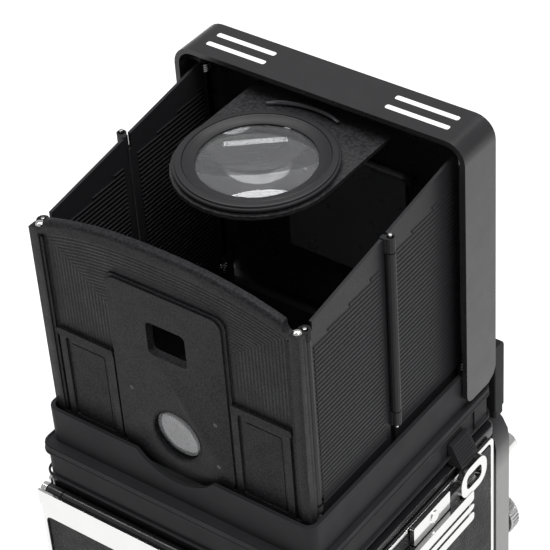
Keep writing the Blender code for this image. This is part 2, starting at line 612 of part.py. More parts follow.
# ---------------------------------------------------------------- hood base
def build_hood_base(m):
    """The frame that stands on the body: a tier, a bead round it and an upright rim."""
    side = (-BASE_HALF_W, BASE_HALF_W)
    rim = prism(rounded(side, (RIM_Y - 11.2, BASE_REAR), 2.5, 4), "Z", BEAD_Z[0] + 1.1, HOOD_Z)
    bead = prism(rounded((-36.6, 36.6), (LID_FRONT, 46.0), 3.0, 4), "Z", *BEAD_Z)
    tier = prism(rounded((-36.0, 36.0), (RIM_Y - 11.5, 45.5), 2.8, 4), "Z", TIER_BOTTOM, BEAD_Z[0] + 0.5)
    join(tier, bead, rim)
    inner = (-BASE_HALF_W + BASE_WALL, BASE_HALF_W - BASE_WALL)
    well = rounded(inner, (RIM_Y - 9.4, BASE_REAR - BASE_WALL), 1.8, 3)
    cut(tier, prism(well, "Z", TIER_BOTTOM + 1.5, HOOD_Z + 1))
    light = (-SCREEN_HALF - 1.8, SCREEN_HALF + 1.8)
    light_y = (MIRROR_Y + light[0], MIRROR_Y + light[1])
    cut(tier, block(light, light_y, (TIER_BOTTOM - 1, TIER_BOTTOM + 3)))
    cut(tier, block((-40, 40), (RIM_Y - 15, RIM_Y - 9.2), (BEAD_Z[1], HOOD_Z + 1)))
    cut(tier, prism(rim_notch(), "Y", BASE_REAR - 3, BASE_REAR + 2))
    cut(tier, rod("X", LID_PIVOT, 1.3, -40, 40, 16))
    for end in (-1, 1):
        slot = block(sorted((end * 35.6, end * 38)), CATCH_SLOT_Y, (120, CATCH_Z[1] + 0.7))
        cut(tier, slot)
    piece("hood_base", tier, m["satin_black"])


def rim_notch():
    """The dip in the rim's rear side, in front of the eyepiece window."""
    half = 10.2
    dip = []
    for i in range(7):
        x = 8.0 - 16.0 * i / 6
        dip.append((x, HOOD_Z - 4.6 * math.cos(math.pi * x / 21) ** 0.8))
    return [(half + 0.8, HOOD_Z + 1), (half, HOOD_Z)] + dip + [(-half, HOOD_Z), (-half - 0.8, HOOD_Z + 1)]


def build_hood_catches(m):
    """A sloping tab on each side that frees the hood."""
    low, high = CATCH_Z
    for side, name in ((1, "left"), (-1, "right")):
        outline = [(35.9, low), (39.2, low), (39.2, low + 0.9), (37.0, high), (35.9, high)]
        tab = prism(outline, "Y", *CATCH_Y)
        if side < 0:
            mirror_x(tab)
        piece("hood_catch_" + name, tab, m["satin_black"])


# --------------------------------------------------------------------- lid
def lid_outline(inset):
    half = LID_HALF_W - inset
    top = LID_TOP - inset
    radius = LID_CORNER_R - inset
    left = arc((-half + radius, top - radius), radius, 180, 90, 6)
    right = arc((half - radius, top - radius), radius, 90, 0, 6)
    return left + right


def lid_foot():
    """What is cut from the lid's lower end, seen from the side, to round it off."""
    low = LID_BOTTOM
    corner = arc((RIM_Y - 2.2, low + 2.2), 2.2, 0, -90, 4)
    foot = [(LID_FRONT - 1, low - 1), (RIM_Y + 1, low - 1), (RIM_Y + 1, low + 2.2)]
    foot += corner + [(LID_FRONT + 3.0, low), (LID_FRONT + 0.9, low + 1.2)]
    return foot + [(LID_FRONT, low + 3.0), (LID_FRONT - 1, low + 3.2)]


def build_lid(m):
    """A shallow tray on edge, with the bosses and cheeks that its hinges need."""
    low = LID_BOTTOM
    outer = [(-LID_HALF_W, low)] + lid_outline(0) + [(LID_HALF_W, low)]
    lid = prism(outer, "Y", LID_FRONT, RIM_Y)
    half = LID_HALF_W - LID_SHEET
    inner = [(-half, low - 1)] + lid_outline(LID_SHEET) + [(half, low - 1)]
    cut(lid, prism(inner, "Y", LID_FRONT + LID_SHEET, RIM_Y + 1))
    window = rounded((-13.5, 13.5), (HOOD_Z + 12.0, HOOD_Z + 36.5), 2.0, 3)
    cut(lid, prism(window, "Y", LID_FRONT - 1, LID_FRONT + 3))
    cut(lid, prism(lid_foot(), "X", -40, 40))
    for side in (-1, 1):
        for z in FRONT_BOSSES:
            join(lid, wall_boss(side, z))
        cheek_y = (LID_FRONT + 0.8, MAG_PIVOT[0] + 1.4)
        cheek_z = (MAG_PIVOT[1] - 1.4, MAG_PIVOT[1] + 1.4)
        cheek = block(sorted((side * 18.7, side * 20.7)), cheek_y, cheek_z)
        ear_y = (LID_FRONT + 0.8, FLAP_AXIS[0] + 0.9)
        ear = block(sorted((side * 16.6, side * 18.2)), ear_y, (FLAP_AXIS[1] - 1.1, FLAP_AXIS[1] + 1.1))
        join(lid, cheek, ear)
    cut(lid, rod("X", MAG_PIVOT, 0.9, -22, 22))
    cut(lid, rod("X", FLAP_AXIS, 0.7, -19, 19))
    cut(lid, rod("X", LID_PIVOT, 1.3, -36.6, 36.6))
    piece("hood_lid", lid, m["satin_black"], (0, *LID_PIVOT))


def wall_boss(side, z):
    """A bored boss inside the lid that holds one end of a front wall's hinge pin."""
    centre = (side * END_X, WALL_FRONT_Y)
    boss = rod("Z", centre, 1.5, *z)
    bar = block(sorted((side * END_X, side * 36.2)), (WALL_FRONT_Y - 1.4, WALL_FRONT_Y + 1.4), z)
    join(boss, bar)
    return cut(boss, rod("Z", centre, BORE_R, z[0] - 1, z[1] + 1))


def build_lid_pins(m):
    for side, name in ((1, "left"), (-1, "right")):
        x = sorted((side * 33.4, side * 36.5))
        piece("lid_pin_" + name, rod("X", LID_PIVOT, 1.0, *x), m["steel"])
        z = (FRONT_BOSSES[0][0], FRONT_BOSSES[1][1])
        pin = rod("Z", (side * END_X, WALL_FRONT_Y), PIN_R, *z, 12)
        piece("front_hinge_pin_" + name, pin, m["steel"])


def build_finder_flap(m):
    """The sports finder's flap, covering the window in the lid."""
    y, z = FLAP_AXIS
    flap = block((-FLAP_HALF_W, FLAP_HALF_W), (y - 0.9, y - 0.1), (HOOD_Z + 9.4, z))
    barrel = rod("X", FLAP_AXIS, 0.85, -FLAP_HALF_W, FLAP_HALF_W, 14)
    trunnion = rod("X", FLAP_AXIS, 0.45, -18.0, 18.0, 10)
    piece("finder_flap", join(flap, barrel, trunnion), m["grey_metal"], (0, y, z))


# -------------------------------------------------------------- side walls
def wall_top(y):
    return WALL_TOP_MID - WALL_SLOPE * (y - WALL_MID_Y)


def knuckles(long_one):
    """The z spans of the middle hinge's long knuckle, or of the short ones at its ends."""
    high = WALL_TOP_MID + 0.2
    if long_one:
        return [(MID_LOW + END_KNUCKLE + GAP, high - END_KNUCKLE - GAP)]
    return [(MID_LOW, MID_LOW + END_KNUCKLE), (high - END_KNUCKLE, high)]


def build_wall(end_y, long_knuckle):
    """One half of the left side wall, between an end hinge and the middle hinge."""
    toward = math.copysign(1, WALL_MID_Y - end_y)
    low_x, high_x = SHEET_X - SHEET_T / 2, SHEET_X + SHEET_T / 2
    top_barrel = min(wall_top(end_y) - 1.2, HOOD_Z + 55.6) if toward > 0 else HOOD_Z + 45.9
    clear_y = end_y + toward * 2.1
    edge_y = WALL_MID_Y - toward * MID_GAP
    outline = [(edge_y, WALL_BOTTOM), (edge_y, wall_top(edge_y)), (clear_y, wall_top(clear_y))]
    outline += [(clear_y, top_barrel), (end_y, top_barrel), (end_y, KNUCKLE_LOW), (clear_y, KNUCKLE_LOW)]
    outline += [(clear_y, WALL_BOTTOM)]
    wall = prism(outline, "X", low_x, high_x)
    join(wall, rod("Z", (END_X, end_y), BARREL_R, KNUCKLE_LOW, top_barrel))
    cut(wall, rod("Z", (END_X, end_y), BORE_R, KNUCKLE_LOW - 1, top_barrel + 1, 12))
    for span in knuckles(long_knuckle):
        tab = block((low_x, MID_X - 0.3), sorted((edge_y - toward * 0.5, WALL_MID_Y)), span)
        barrel = rod("Z", (MID_X, WALL_MID_Y), BARREL_R, *span)
        join(tab, barrel)
        cut(tab, rod("Z", (MID_X, WALL_MID_Y), BORE_R, span[0] - 1, span[1] + 1, 12))
        join(wall, tab)
    return wall


def build_side_walls(m):
    parts = {
        "front_wall": (WALL_FRONT_Y, True, (END_X, WALL_FRONT_Y, 0)),
        "rear_wall": (WALL_REAR_Y, False, (MID_X, WALL_MID_Y, 0)),
    }
    for side, label in ((1, "left"), (-1, "right")):
        for name, (end_y, long_knuckle, origin) in parts.items():
            wall = build_wall(end_y, long_knuckle)
            if side < 0:
                mirror_x(wall)
            piece(name + "_" + label, wall, m["satin_black"], (side * origin[0], origin[1], origin[2]))
        pin = rod("Z", (side * MID_X, WALL_MID_Y), PIN_R, MID_LOW - 1.0, WALL_TOP_MID + 0.9, 12)
        piece("mid_hinge_pin_" + label, pin, m["steel"])
        pin = rod("Z", (side * END_X, WALL_REAR_Y), PIN_R, HOOD_Z + 0.4, HOOD_Z + 48.6, 12)
        piece("rear_hinge_pin_" + label, pin, m["steel"])


# -------------------------------------------------------------- rear panel
def panel_top(half, shoulder, crest):
    """The arched top of the rear panel, from right to left."""
    points = []
    steps = 12
    for i in range(steps + 1):
        x = half * (1 - 2 * i / steps)
        rise = (crest - shoulder) * (1 - (abs(x) / half) ** 2.4)
        points.append((x, shoulder + rise))
    return points


def build_rear_panel(m):
    """The hood's rear wall, with its recessed field, centre plate and two side pads."""
    half, base = PANEL_HALF_W, HOOD_Z - 1.5
    outline = [(-half, PANEL_BOTTOM), (half, PANEL_BOTTOM)]
    outline += panel_top(half, PANEL_SHOULDER, PANEL_CREST)
    panel = prism(outline, "Y", PANEL_IN, PANEL_FACE)
    inset = half - PANEL_EDGE
    field = [(-inset, HOOD_Z - 1), (inset, HOOD_Z - 1)]
    field += panel_top(inset, PANEL_SHOULDER - 2.0, PANEL_CREST - 3.0)
    cut(panel, prism(field, "Y", PANEL_FIELD, PANEL_FACE + 1))
    back = PANEL_FIELD - 0.4
    plate_outline = rounded((-PLATE_HALF_W, PLATE_HALF_W), (base, HOOD_Z + 44.0), 2.5, 4)
    join(panel, prism(plate_outline, "Y", back, PANEL_FACE))
    for side in (-1, 1):
        x = sorted((side * PAD_X[0], side * PAD_X[1]))
        pad = prism(rounded(x, (base, HOOD_Z + 23.0), 1.2, 3), "Y", back, PANEL_FACE - 0.1)
        dish_x = (x[0] + PAD_EDGE, x[1] - PAD_EDGE)
        dish = rounded(dish_x, (HOOD_Z - 0.5, HOOD_Z + 23.0 - PAD_EDGE), 0.8, 2)
        cut(pad, prism(dish, "Y", PANEL_FACE - 0.6, PANEL_FACE + 1))
        join(panel, pad)
        for z in REAR_BOSSES:
            join(panel, panel_boss(side, z))
    window = rounded(*FINDER_WINDOW, 1.2, 3)
    cut(panel, prism(window, "Y", PANEL_IN - 1, PANEL_FACE + 1))
    cut(panel, rod("Y", EYEPIECE, EYEPIECE_R, PANEL_IN - 1, PANEL_FACE + 1, 28))
    piece("rear_panel", panel, m["wrinkle_black"], (0, WALL_REAR_Y, 0))


def panel_boss(side, z):
    """A bored boss on the panel's inner face that holds one end of a rear hinge pin."""
    centre = (side * END_X, WALL_REAR_Y)
    boss = rod("Z", centre, 1.4, *z)
    x = sorted((side * (END_X - 1.3), side * (END_X + 0.9)))
    join(boss, block(x, (WALL_REAR_Y, PANEL_IN + 0.4), z))
    return cut(boss, rod("Z", centre, BORE_R, z[0] - 1, z[1] + 1, 12))


def build_eyepiece(m):
    radius = EYEPIECE_R - 0.4
    profile = [(radius, PANEL_IN + 0.2), (radius, PANEL_IN + 1.0), (3.0, PANEL_IN + 1.4)]
    piece("rear_window_lens", turned("Y", EYEPIECE, profile, 24), m["glass"])


# -------------------------------------------------------------- magnifier
def build_magnifier(m):
    lens_y = MAG_PIVOT[0] + MAG_ARM
    pivot = (0, *MAG_PIVOT)
    low, high = MAG_PLATE_Z
    front = MAG_PIVOT[0] + 0.6
    outline = arc((0, lens_y), MAG_R, 0, 180, 16) + [(-MAG_R, front), (MAG_R, front)]
    plate = prism(outline, "Z", low, high)
    join(plate, rod("X", MAG_PIVOT, 1.25, -18.3, 18.3, 16), rod("X", MAG_PIVOT, 0.6, -20.5, 20.5, 12))
    cut(plate, rod("Z", (0, lens_y), 14.6, low - 1, high + 1, 32))
    piece("magnifier_plate", plate, m["wrinkle_black"], pivot)
    top = HOOD_Z + 57.8
    profile = [(MAG_BORE_R, low), (14.3, low), (14.3, high + GAP), (17.2, high + GAP)]
    profile += [(17.2, top - 0.5), (16.4, top), (15.0, top), (MAG_BORE_R, top - 0.7)]
    piece("magnifier_ring", turned("Z", (0, lens_y), profile, 36, True), m["satin_black"], pivot)
    dome = [(MAG_BORE_R - GAP, low + 0.1), (MAG_BORE_R - GAP, high - 0.1)]
    for step in range(1, 4):
        radius = (MAG_BORE_R - GAP) * (1 - step / 3.6)
        dome.append((radius, high - 0.1 + 1.7 * (1 - (radius / (MAG_BORE_R - GAP)) ** 2)))
    piece("magnifier_lens", turned("Z", (0, lens_y), dome, 28), m["glass"], pivot)


def main():
    clear_scene()
    m = make_materials()
    build_body_shell(m)
    build_base_plate(m)
    build_top_deck(m)
    build_nameplate_cover(m)
    build_mirror(m)
    build_light_box(m)
    build_side_skins(m)
    build_strap_lugs(m)
    build_back_door(m)
    build_door_latch(m)
    build_pressure_plate(m)
    build_spools(m)
    build_advance(m)
    build_spool_knobs(m)
    build_focus(m)
    build_standard(m)
    build_lenses(m)
    build_front_controls(m)
    build_hood_base(m)
    build_hood_catches(m)
    build_lid(m)
    build_lid_pins(m)
    build_finder_flap(m)
    build_side_walls(m)
    build_rear_panel(m)
    build_eyepiece(m)
    build_magnifier(m)


main()
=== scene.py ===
"""The looks of the twin lens reflex camera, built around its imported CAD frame.

Metres, +Z up, in the frame's own coordinates. The lenses look along -Y, and the hood is
seen from behind.
"""
import json
import math

import bmesh
import bpy
from mathutils import Matrix, Vector


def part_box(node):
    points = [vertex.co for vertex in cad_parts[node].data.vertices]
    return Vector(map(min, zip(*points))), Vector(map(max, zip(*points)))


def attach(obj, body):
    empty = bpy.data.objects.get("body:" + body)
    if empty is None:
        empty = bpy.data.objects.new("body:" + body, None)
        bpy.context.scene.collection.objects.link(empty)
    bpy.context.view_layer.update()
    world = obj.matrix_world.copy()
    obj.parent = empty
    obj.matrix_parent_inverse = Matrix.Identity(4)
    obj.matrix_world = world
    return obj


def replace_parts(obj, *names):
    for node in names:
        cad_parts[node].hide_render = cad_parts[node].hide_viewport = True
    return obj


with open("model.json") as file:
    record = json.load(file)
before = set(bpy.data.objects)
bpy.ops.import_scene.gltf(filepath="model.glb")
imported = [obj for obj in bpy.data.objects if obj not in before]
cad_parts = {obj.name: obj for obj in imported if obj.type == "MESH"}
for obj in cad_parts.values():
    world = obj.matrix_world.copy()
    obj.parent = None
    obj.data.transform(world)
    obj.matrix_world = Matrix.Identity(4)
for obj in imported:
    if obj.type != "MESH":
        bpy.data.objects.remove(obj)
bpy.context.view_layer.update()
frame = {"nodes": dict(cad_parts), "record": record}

MM = 0.001
SIDES = {"left": 1, "right": -1}       # the sign of x on each side

# ---- camera ----
TARGET = Vector((0.0023, 0.0022, 0.1631))
DISTANCE = 0.480
AZIMUTH = 38.94                # degrees from +Y towards -X
ELEVATION = 38.65
ROLL = -4.45
LENS = 146.9                   # mm

# ---- light ----
SKY = 0.45                     # the studio's even surround
KEY = 1.6                      # strength of the first light
KEY_SPREAD = 30                # degrees; a wide, soft source
KEY_FROM = (-0.5, 0.02, 1.0)   # from the subject towards the light
BOX_FROM = Vector((0.17, -0.21, 0.9))     # a long softbox, above and beyond the subject
BOX_SIZE = (1.1, 0.15)
BOX_POWER = 6.0

# ---- hood ----
RIB_PITCH = 1.12 * MM
RIB_HEIGHT = 0.2 * MM
RIB_MARGIN = 5.6 * MM          # smooth metal above the ribs, below the wall's sloping edge
RIB_ENDS = 3.2 * MM            # smooth metal at the walls' ends
WALL_MIDDLE = 32.6 * MM        # |x| of the side walls' middle plane
WALL_HALF = 0.35 * MM          # half their thickness
WALL_SLOPE = 0.152             # how fast their upper edges fall towards the rear
STRIPE_NEAR = 15.3 * MM        # |x| of the stripes' inner ends
STRIPE_FAR = 30.7 * MM
STRIPE_WIDTH = 1.35 * MM
STRIPE_YS = (-4.1 * MM, -7.85 * MM)   # from the lid's rear rim
DOME = 0.95 * MM               # how far the magnifier's lens swells past its CAD node's box
CREST_FALL = 5.4 * MM          # the rear panel's arched top falls this much to its corners
CREST_POWER = 2.4
MILL_PITCH = 0.85 * MM         # spacing of the milling marks on the rear panel
EAR_PLACE = (32.2 * MM, 39.6 * MM)    # |x|, y of the posts for the rear hinge pins
EAR_RADIUS = 1.65 * MM
EAR_TOP = 189.3 * MM

# ---- body and front ----
HINGE_RADIUS = 1.38            # mm; the back door's hinge
BOARD_FACE = -29.5 * MM        # y of the lens board's front face
FLASH_SOCKET = (-33.0 * MM, 103.0 * MM)   # x, z
SHUTTER_CENTRE = (0.0, 48.0 * MM)
SHUTTER_FACE = -38.24 * MM     # y of the scale on the shutter's case
GLASS_EDGE = -41.5 * MM        # y of the front glasses' edges
GLASS_RISE = 2.2 * MM          # how far they swell forward
# x, z and radius in mm of the holes round the two wheels, the release and the flash socket
BOARD_HOLES = ((31.0, 81.0, 7.4), (-31.0, 81.0, 7.4), (22.0, 34.0, 4.6), (-33.0, 103.0, 3.4))

# ---- edges, in degrees ----
CAD_CORNER = 28                # CAD edges sharper than this are rounded
NEW_CORNER = 35                # the same for shapes made here
SMOOTH_CORNER = 32             # the shading is smooth across edges flatter than this

# ---- covering ----
GRAIN = 0.95 * MM              # size of the leatherette's pebbles
SKIN = 0.5 * MM                # its thickness on the door and the lens board

# ---- colours, linear ----
BLACK = (0.015, 0.015, 0.0165)
DARK = (0.005, 0.005, 0.0055)
CASTING = (0.026, 0.026, 0.028)
WHITE_PAINT = (0.86, 0.86, 0.84)
SILVER = (0.8, 0.8, 0.79)
STEEL = (0.62, 0.62, 0.62)
BRASS = (0.72, 0.53, 0.26)
GREY_LACQUER = (0.27, 0.27, 0.265)


# ------------------------------------------------------------------ materials
class Nodes:
    """A material's node tree, with short calls for the nodes that this scene uses."""

    def __init__(self, name):
        self.mat = bpy.data.materials.new(name)
        self.mat.use_nodes = True
        self.tree = self.mat.node_tree
        self.shader = self.tree.nodes["Principled BSDF"]
        self.place = self.tree.nodes.new("ShaderNodeTexCoord").outputs["Object"]

    def fill(self, socket, value):
        """Give a socket a link or a plain value."""
        if isinstance(value, bpy.types.NodeSocket):
            self.tree.links.new(value, socket)
        else:
            socket.default_value = value

    def add(self, kind, inputs=(), **settings):
        node = self.tree.nodes.new(kind)
        for key, value in settings.items():
            setattr(node, key, value)
        for key, value in dict(inputs).items():
            self.fill(node.inputs[key], value)
        return node

    def stretched(self, scale):
        return self.add("ShaderNodeMapping", {"Vector": self.place, "Scale": scale}).outputs["Vector"]

    def noise(self, size, detail=3.0, where=None):
        """Noise whose features are about size across."""
        inputs = {"Vector": where or self.place, "Scale": 1.0 / size, "Detail": detail}
        return self.add("ShaderNodeTexNoise", inputs).outputs["Fac"]

    def cells(self, size, feature="F1", where=None):
        inputs = {"Vector": where or self.place, "Scale": 1.0 / size}
        return self.add("ShaderNodeTexVoronoi", inputs, feature=feature).outputs["Distance"]

    def spread(self, value, low, high, start=0.3, end=0.7):
        """value from start to end turned into low to high."""
        inputs = {"Value": value, "From Min": start, "From Max": end, "To Min": low, "To Max": high}
        return self.add("ShaderNodeMapRange", inputs).outputs["Result"]

    def mix(self, factor, first, second):
        node = self.add("ShaderNodeMix", data_type="RGBA")
        for key, value in ((0, factor), (6, first), (7, second)):
            self.fill(node.inputs[key], value)
        return node.outputs[2]

    def math(self, operation, *values):
        inputs = dict(enumerate(values))
        return self.add("ShaderNodeMath", inputs, operation=operation).outputs[0]

    def bump(self, height, distance, strength=1.0, under=None):
        inputs = {"Height": height, "Distance": distance, "Strength": strength}
        if under:
            inputs["Normal"] = under
        return self.add("ShaderNodeBump", inputs).outputs["Normal"]

    def set(self, **inputs):
        for key, value in inputs.items():
            self.fill(self.shader.inputs[key.replace("_", " ")], value)
        return self.mat


def shade(colour, factor):
    """A colour made darker or lighter, with full alpha."""
    return (*(c * factor for c in colour), 1.0)


def enamel(name, colour, rough=0.3, sheen=0.5, grain=0.25 * MM, depth=0.004 * MM):
    """Sprayed paint on metal: orange peel, faint dust and uneven gloss."""
    n = Nodes(name)
    tone = n.mix(n.noise(9 * MM, 4), shade(colour, 0.85), shade(colour, 1.2))
    dust = n.spread(n.noise(0.5 * MM, 2), 0.0, 1.0, 0.72, 0.80)
    colour_out = n.mix(dust, tone, shade(colour, 2.5))
    gloss = n.spread(n.noise(5 * MM, 3), rough - 0.04, rough + 0.06)
    normal = n.bump(n.noise(grain, 2), depth, 0.8)
    return n.set(Base_Color=colour_out, Roughness=gloss, Specular_IOR_Level=sheen, Normal=normal)


def wrinkle(name, colour, sheen=0.2, grain=0.42 * MM, depth=0.05 * MM, marks=False):
    """Baked crinkle finish: tight irregular grains that catch the light."""
    n = Nodes(name)
    grains = n.cells(grain, "SMOOTH_F1")
    fine = n.noise(grain * 0.4, 2)
    tone = n.mix(n.spread(grains, 0, 1, 0.1, 0.6), shade(colour, 1.7), shade(colour, 0.6))
    coarse = n.bump(grains, depth, 0.8)
    normal = n.bump(fine, 0.02 * MM, 0.5, coarse)
    if marks:
        normal = n.bump(milling(n), 0.045 * MM, 0.8, normal)
    gloss = n.spread(n.noise(3 * MM, 3), 0.36, 0.5)
    return n.set(Base_Color=tone, Roughness=gloss, Specular_IOR_Level=sheen, Normal=normal)


def milling(n):
    """Ridges that follow the rear panel's outline, only on its recessed field."""
    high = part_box("rear_panel")[1]
    axes = n.add("ShaderNodeSeparateXYZ", {"Vector": n.place}).outputs
    across = n.math("ABSOLUTE", axes["X"])
    fall = n.math("MULTIPLY", n.math("POWER", n.math("DIVIDE", across, high.x), CREST_POWER), CREST_FALL)
    below = n.math("SUBTRACT", n.math("SUBTRACT", high.z, axes["Z"]), fall)
    inward = n.math("MINIMUM", n.math("SUBTRACT", high.x, across), below)
    wave = n.math("SINE", n.math("MULTIPLY", inward, 2 * math.pi / MILL_PITCH))
    on_field = n.math("COMPARE", axes["Y"], high.y - 0.8 * MM, 0.15 * MM)
    return n.math("MULTIPLY", wave, on_field)


def wall_paint_shaded_inside(name):
    """Thin black paint, dull on the side that faces into the hood, where its colour is made far darker as
    painted shade.
    """
    n = Nodes(name)
    axes = n.add("ShaderNodeSeparateXYZ", {"Vector": n.place}).outputs
    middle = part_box("front_wall_left")[0].x + WALL_HALF
    outside = n.math("GREATER_THAN", n.math("ABSOLUTE", axes["X"]), middle)
    speckle = n.spread(n.noise(0.3 * MM, 2), 0.8, 1.3)
    # painted shade: the faces inside the hood take a far darker colour than the outer faces, here and in
    # the tint below
    tone = n.mix(outside, shade(DARK, 0.15), shade(BLACK, 1.0))
    tinted = n.mix(n.noise(6 * MM, 3), tone, n.mix(outside, shade(DARK, 0.25), shade(BLACK, 1.3)))
    sheen = n.math("ADD", n.math("MULTIPLY", outside, 0.18), 0.01)
    gloss = n.math("SUBTRACT", 0.95, n.math("MULTIPLY", n.math("MULTIPLY", outside, speckle), 0.5))
    normal = n.bump(n.noise(0.25 * MM, 2), 0.006 * MM, 0.8)
    return n.set(Base_Color=tinted, Roughness=gloss, Specular_IOR_Level=sheen, Normal=normal)


def plated(name, colour, rough=0.1, along=(1, 1, 1), depth=0.002 * MM):
    """Chrome or bare metal, with hairlines along one axis and faint haze."""
    n = Nodes(name)
    hairs = n.noise(0.25 * MM, 3, n.stretched(along))
    haze = n.noise(6 * MM, 4)
    tone = n.mix(haze, shade(colour, 0.9), shade(colour, 1.0))
    gloss = n.spread(haze, rough * 0.7, rough * 1.5)
    return n.set(Base_Color=tone, Metallic=1.0, Roughness=gloss, Normal=n.bump(hairs, depth, 0.6))


def leatherette(name):
    """Black covering cloth with an embossed pebble grain, darker in the grooves between pebbles as painted
    shade.
    """
    n = Nodes(name)
    edges = n.cells(GRAIN, "DISTANCE_TO_EDGE")
    pebbles = n.spread(edges, 0, 1, 0.0, 0.28)
    # painted shade: the colour darkens in the grooves between the pebbles
    tone = n.mix(pebbles, shade(BLACK, 0.4), shade(BLACK, 1.3))
    coarse = n.bump(pebbles, 0.16 * MM, 0.7)
    normal = n.bump(n.noise(0.15 * MM, 3), 0.03 * MM, 0.5, coarse)
    gloss = n.spread(n.noise(4 * MM, 3), 0.42, 0.58)
    return n.set(Base_Color=tone, Roughness=gloss, Specular_IOR_Level=0.22, Normal=normal)


def board_lacquer(name):
    """The lens board's grey lacquer, black on its rounded top end."""
    n = Nodes(name)
    height = n.add("ShaderNodeSeparateXYZ", {"Vector": n.place}).outputs["Z"]
    top = n.spread(height, 0.0, 1.0, 103 * MM, 111 * MM)
    grey = n.mix(n.noise(9 * MM, 4), shade(GREY_LACQUER, 0.9), shade(GREY_LACQUER, 1.08))
    tone = n.mix(top, grey, shade(BLACK, 1.5))
    gloss = n.spread(n.noise(5 * MM, 3), 0.3, 0.4)
    normal = n.bump(n.noise(0.3 * MM, 2), 0.005 * MM, 0.8)
    return n.set(Base_Color=tone, Roughness=gloss, Specular_IOR_Level=0.35, Normal=normal)


def glass(name, tint, smear=0.03, clear=1.0):
    """Polished optical glass with the faintest uneven film."""
    n = Nodes(name)
    gloss = n.spread(n.noise(6 * MM, 3), 0.0, smear)
    tone = n.mix(n.noise(10 * MM, 2), (*tint, 1.0), shade(tint, 0.96))
    return n.set(Base_Color=tone, Roughness=gloss, IOR=1.52, Transmission_Weight=clear)


def ground_glass_shaded(name):
    """The focusing screen, finely ground, coloured near black as painted shade inside the hood."""
    n = Nodes(name)
    normal = n.bump(n.noise(0.06 * MM, 2), 0.01 * MM, 0.6)
    # painted shade: the screen's near-black colour stands for the dark inside of the hood
    tone = n.mix(n.noise(8 * MM, 3), (0.006, 0.007, 0.007, 1), (0.009, 0.010, 0.010, 1))
    return n.set(Base_Color=tone, Roughness=n.spread(n.noise(3 * MM), 0.3, 0.42), Normal=normal)


def paper_floor(name):
    n = Nodes(name)
    tone = n.mix(n.noise(0.3, 2), (0.93, 0.93, 0.93, 1), (0.96, 0.96, 0.96, 1))
    return n.set(Base_Color=tone, Roughness=n.spread(n.noise(0.1), 0.75, 0.85))


def make_materials():
    """Every material by name. Each row gives a maker and its settings after the name."""
    looks = {
        "lid_black": (enamel, BLACK, 0.28, 0.46),
        "satin_black": (enamel, BLACK, 0.3, 0.45),
        "base_black": (enamel, CASTING, 0.5, 0.06, 0.35 * MM, 0.012 * MM),
        "wall_black": (wall_paint_shaded_inside,),
        "wrinkle_black": (wrinkle, BLACK, 0.09),
        "panel_black": (wrinkle, BLACK, 0.12, 0.42 * MM, 0.05 * MM, True),
        "matt_black": (enamel, DARK, 0.7, 0.15, 0.15 * MM),
        "cover_black": (enamel, BLACK, 0.4, 0.05),
        "deck_black": (enamel, BLACK, 0.22, 0.5),
        "plate_black": (wrinkle, BLACK, 0.4, 0.65 * MM, 0.11 * MM),
        # painted highlight: the plate rib's lighter grey stands for the bright line along its edge
        "edge_black": (enamel, shade(CASTING, 2.2)[:3], 0.25, 0.9),
        "ring_black": (enamel, BLACK, 0.42, 0.3),
        "board_grey": (board_lacquer,),
        "flap_paint": (enamel, (0.07, 0.07, 0.075), 0.3, 0.5),
        "window_grey": (enamel, (0.05, 0.05, 0.055), 0.3),
        "white_paint": (enamel, WHITE_PAINT, 0.4),
        "chrome": (plated, SILVER, 0.12),
        "satin_chrome": (plated, shade(STEEL, 0.85)[:3], 0.26, (1, 14, 14), 0.006 * MM),
        "steel": (plated, STEEL, 0.24, (8, 8, 1)),
        "brass": (plated, BRASS, 0.28),
        "leatherette": (leatherette,),
        "glass": (glass, (0.985, 0.99, 1.0)),
        "dusty_glass": (glass, (0.97, 0.975, 1.0), 0.01, 0.95),
        "coated_glass": (glass, (0.80, 0.84, 1.0)),
        "screen": (ground_glass_shaded,),
        "mirror": (plated, (0.93, 0.94, 0.94), 0.03),
    }
    return {name: maker(name, *settings) for name, (maker, *settings) in looks.items()}


# ------------------------------------------------------------- shape helpers
def add_object(name, data):
    """A new object in the scene."""
    obj = bpy.data.objects.new(name, data)
    bpy.context.scene.collection.objects.link(obj)
    return obj


def link(name, mesh, mat, body):
    """Turn a bmesh into a named piece that rides on a body."""
    bmesh.ops.recalc_face_normals(mesh, faces=mesh.faces)
    data = bpy.data.meshes.new(name)
    mesh.to_mesh(data)
    mesh.free()
    obj = add_object(name, data)
    data.materials.append(mat)
    data.shade_smooth()
    data.set_sharp_from_angle(angle=math.radians(SMOOTH_CORNER))
    if "glass" not in mat.name:
        obj.modifiers.new("weigh", "WEIGHTED_NORMAL").keep_sharp = True
        settle(obj)
    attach(obj, body)
    return obj


def settle(obj):
    """Turn an object's modifiers into its mesh."""
    bpy.context.view_layer.update()
    graph = bpy.context.evaluated_depsgraph_get()
    result = bpy.data.meshes.new_from_object(obj.evaluated_get(graph))
    obj.modifiers.clear()
    obj.data = result


def body_of_node(node):
    """The name of the moving body that a CAD node belongs to."""
    for body, members in frame["record"]["behaviour"]["bodies"].items():
        if node in members:
            return body
    raise KeyError(node)


def centre_of(node, axes):
    """The centre of a CAD node's box, on two of its axes."""
    low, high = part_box(node)
    return tuple((getattr(low, axis) + getattr(high, axis)) / 2 for axis in axes)


def in_mm(pairs, way=1):
    """Pairs given in millimetres turned into metres, with the second value times way."""
    return [(first * MM, way * second * MM) for first, second in pairs]


def sharp_edges(mesh, corner):
    """The edges at which two faces meet at more than corner degrees."""
    limit = math.radians(corner)
    return [e for e in mesh.edges if len(e.link_faces) == 2 and e.calc_face_angle(0) > limit]


def bevel(mesh, edges, width, segments=2):
    """Round the given edges."""
    settings = {"profile": 0.5, "affect": "EDGES", "clamp_overlap": True}
    bmesh.ops.bevel(mesh, geom=edges, offset=width, segments=segments, **settings)


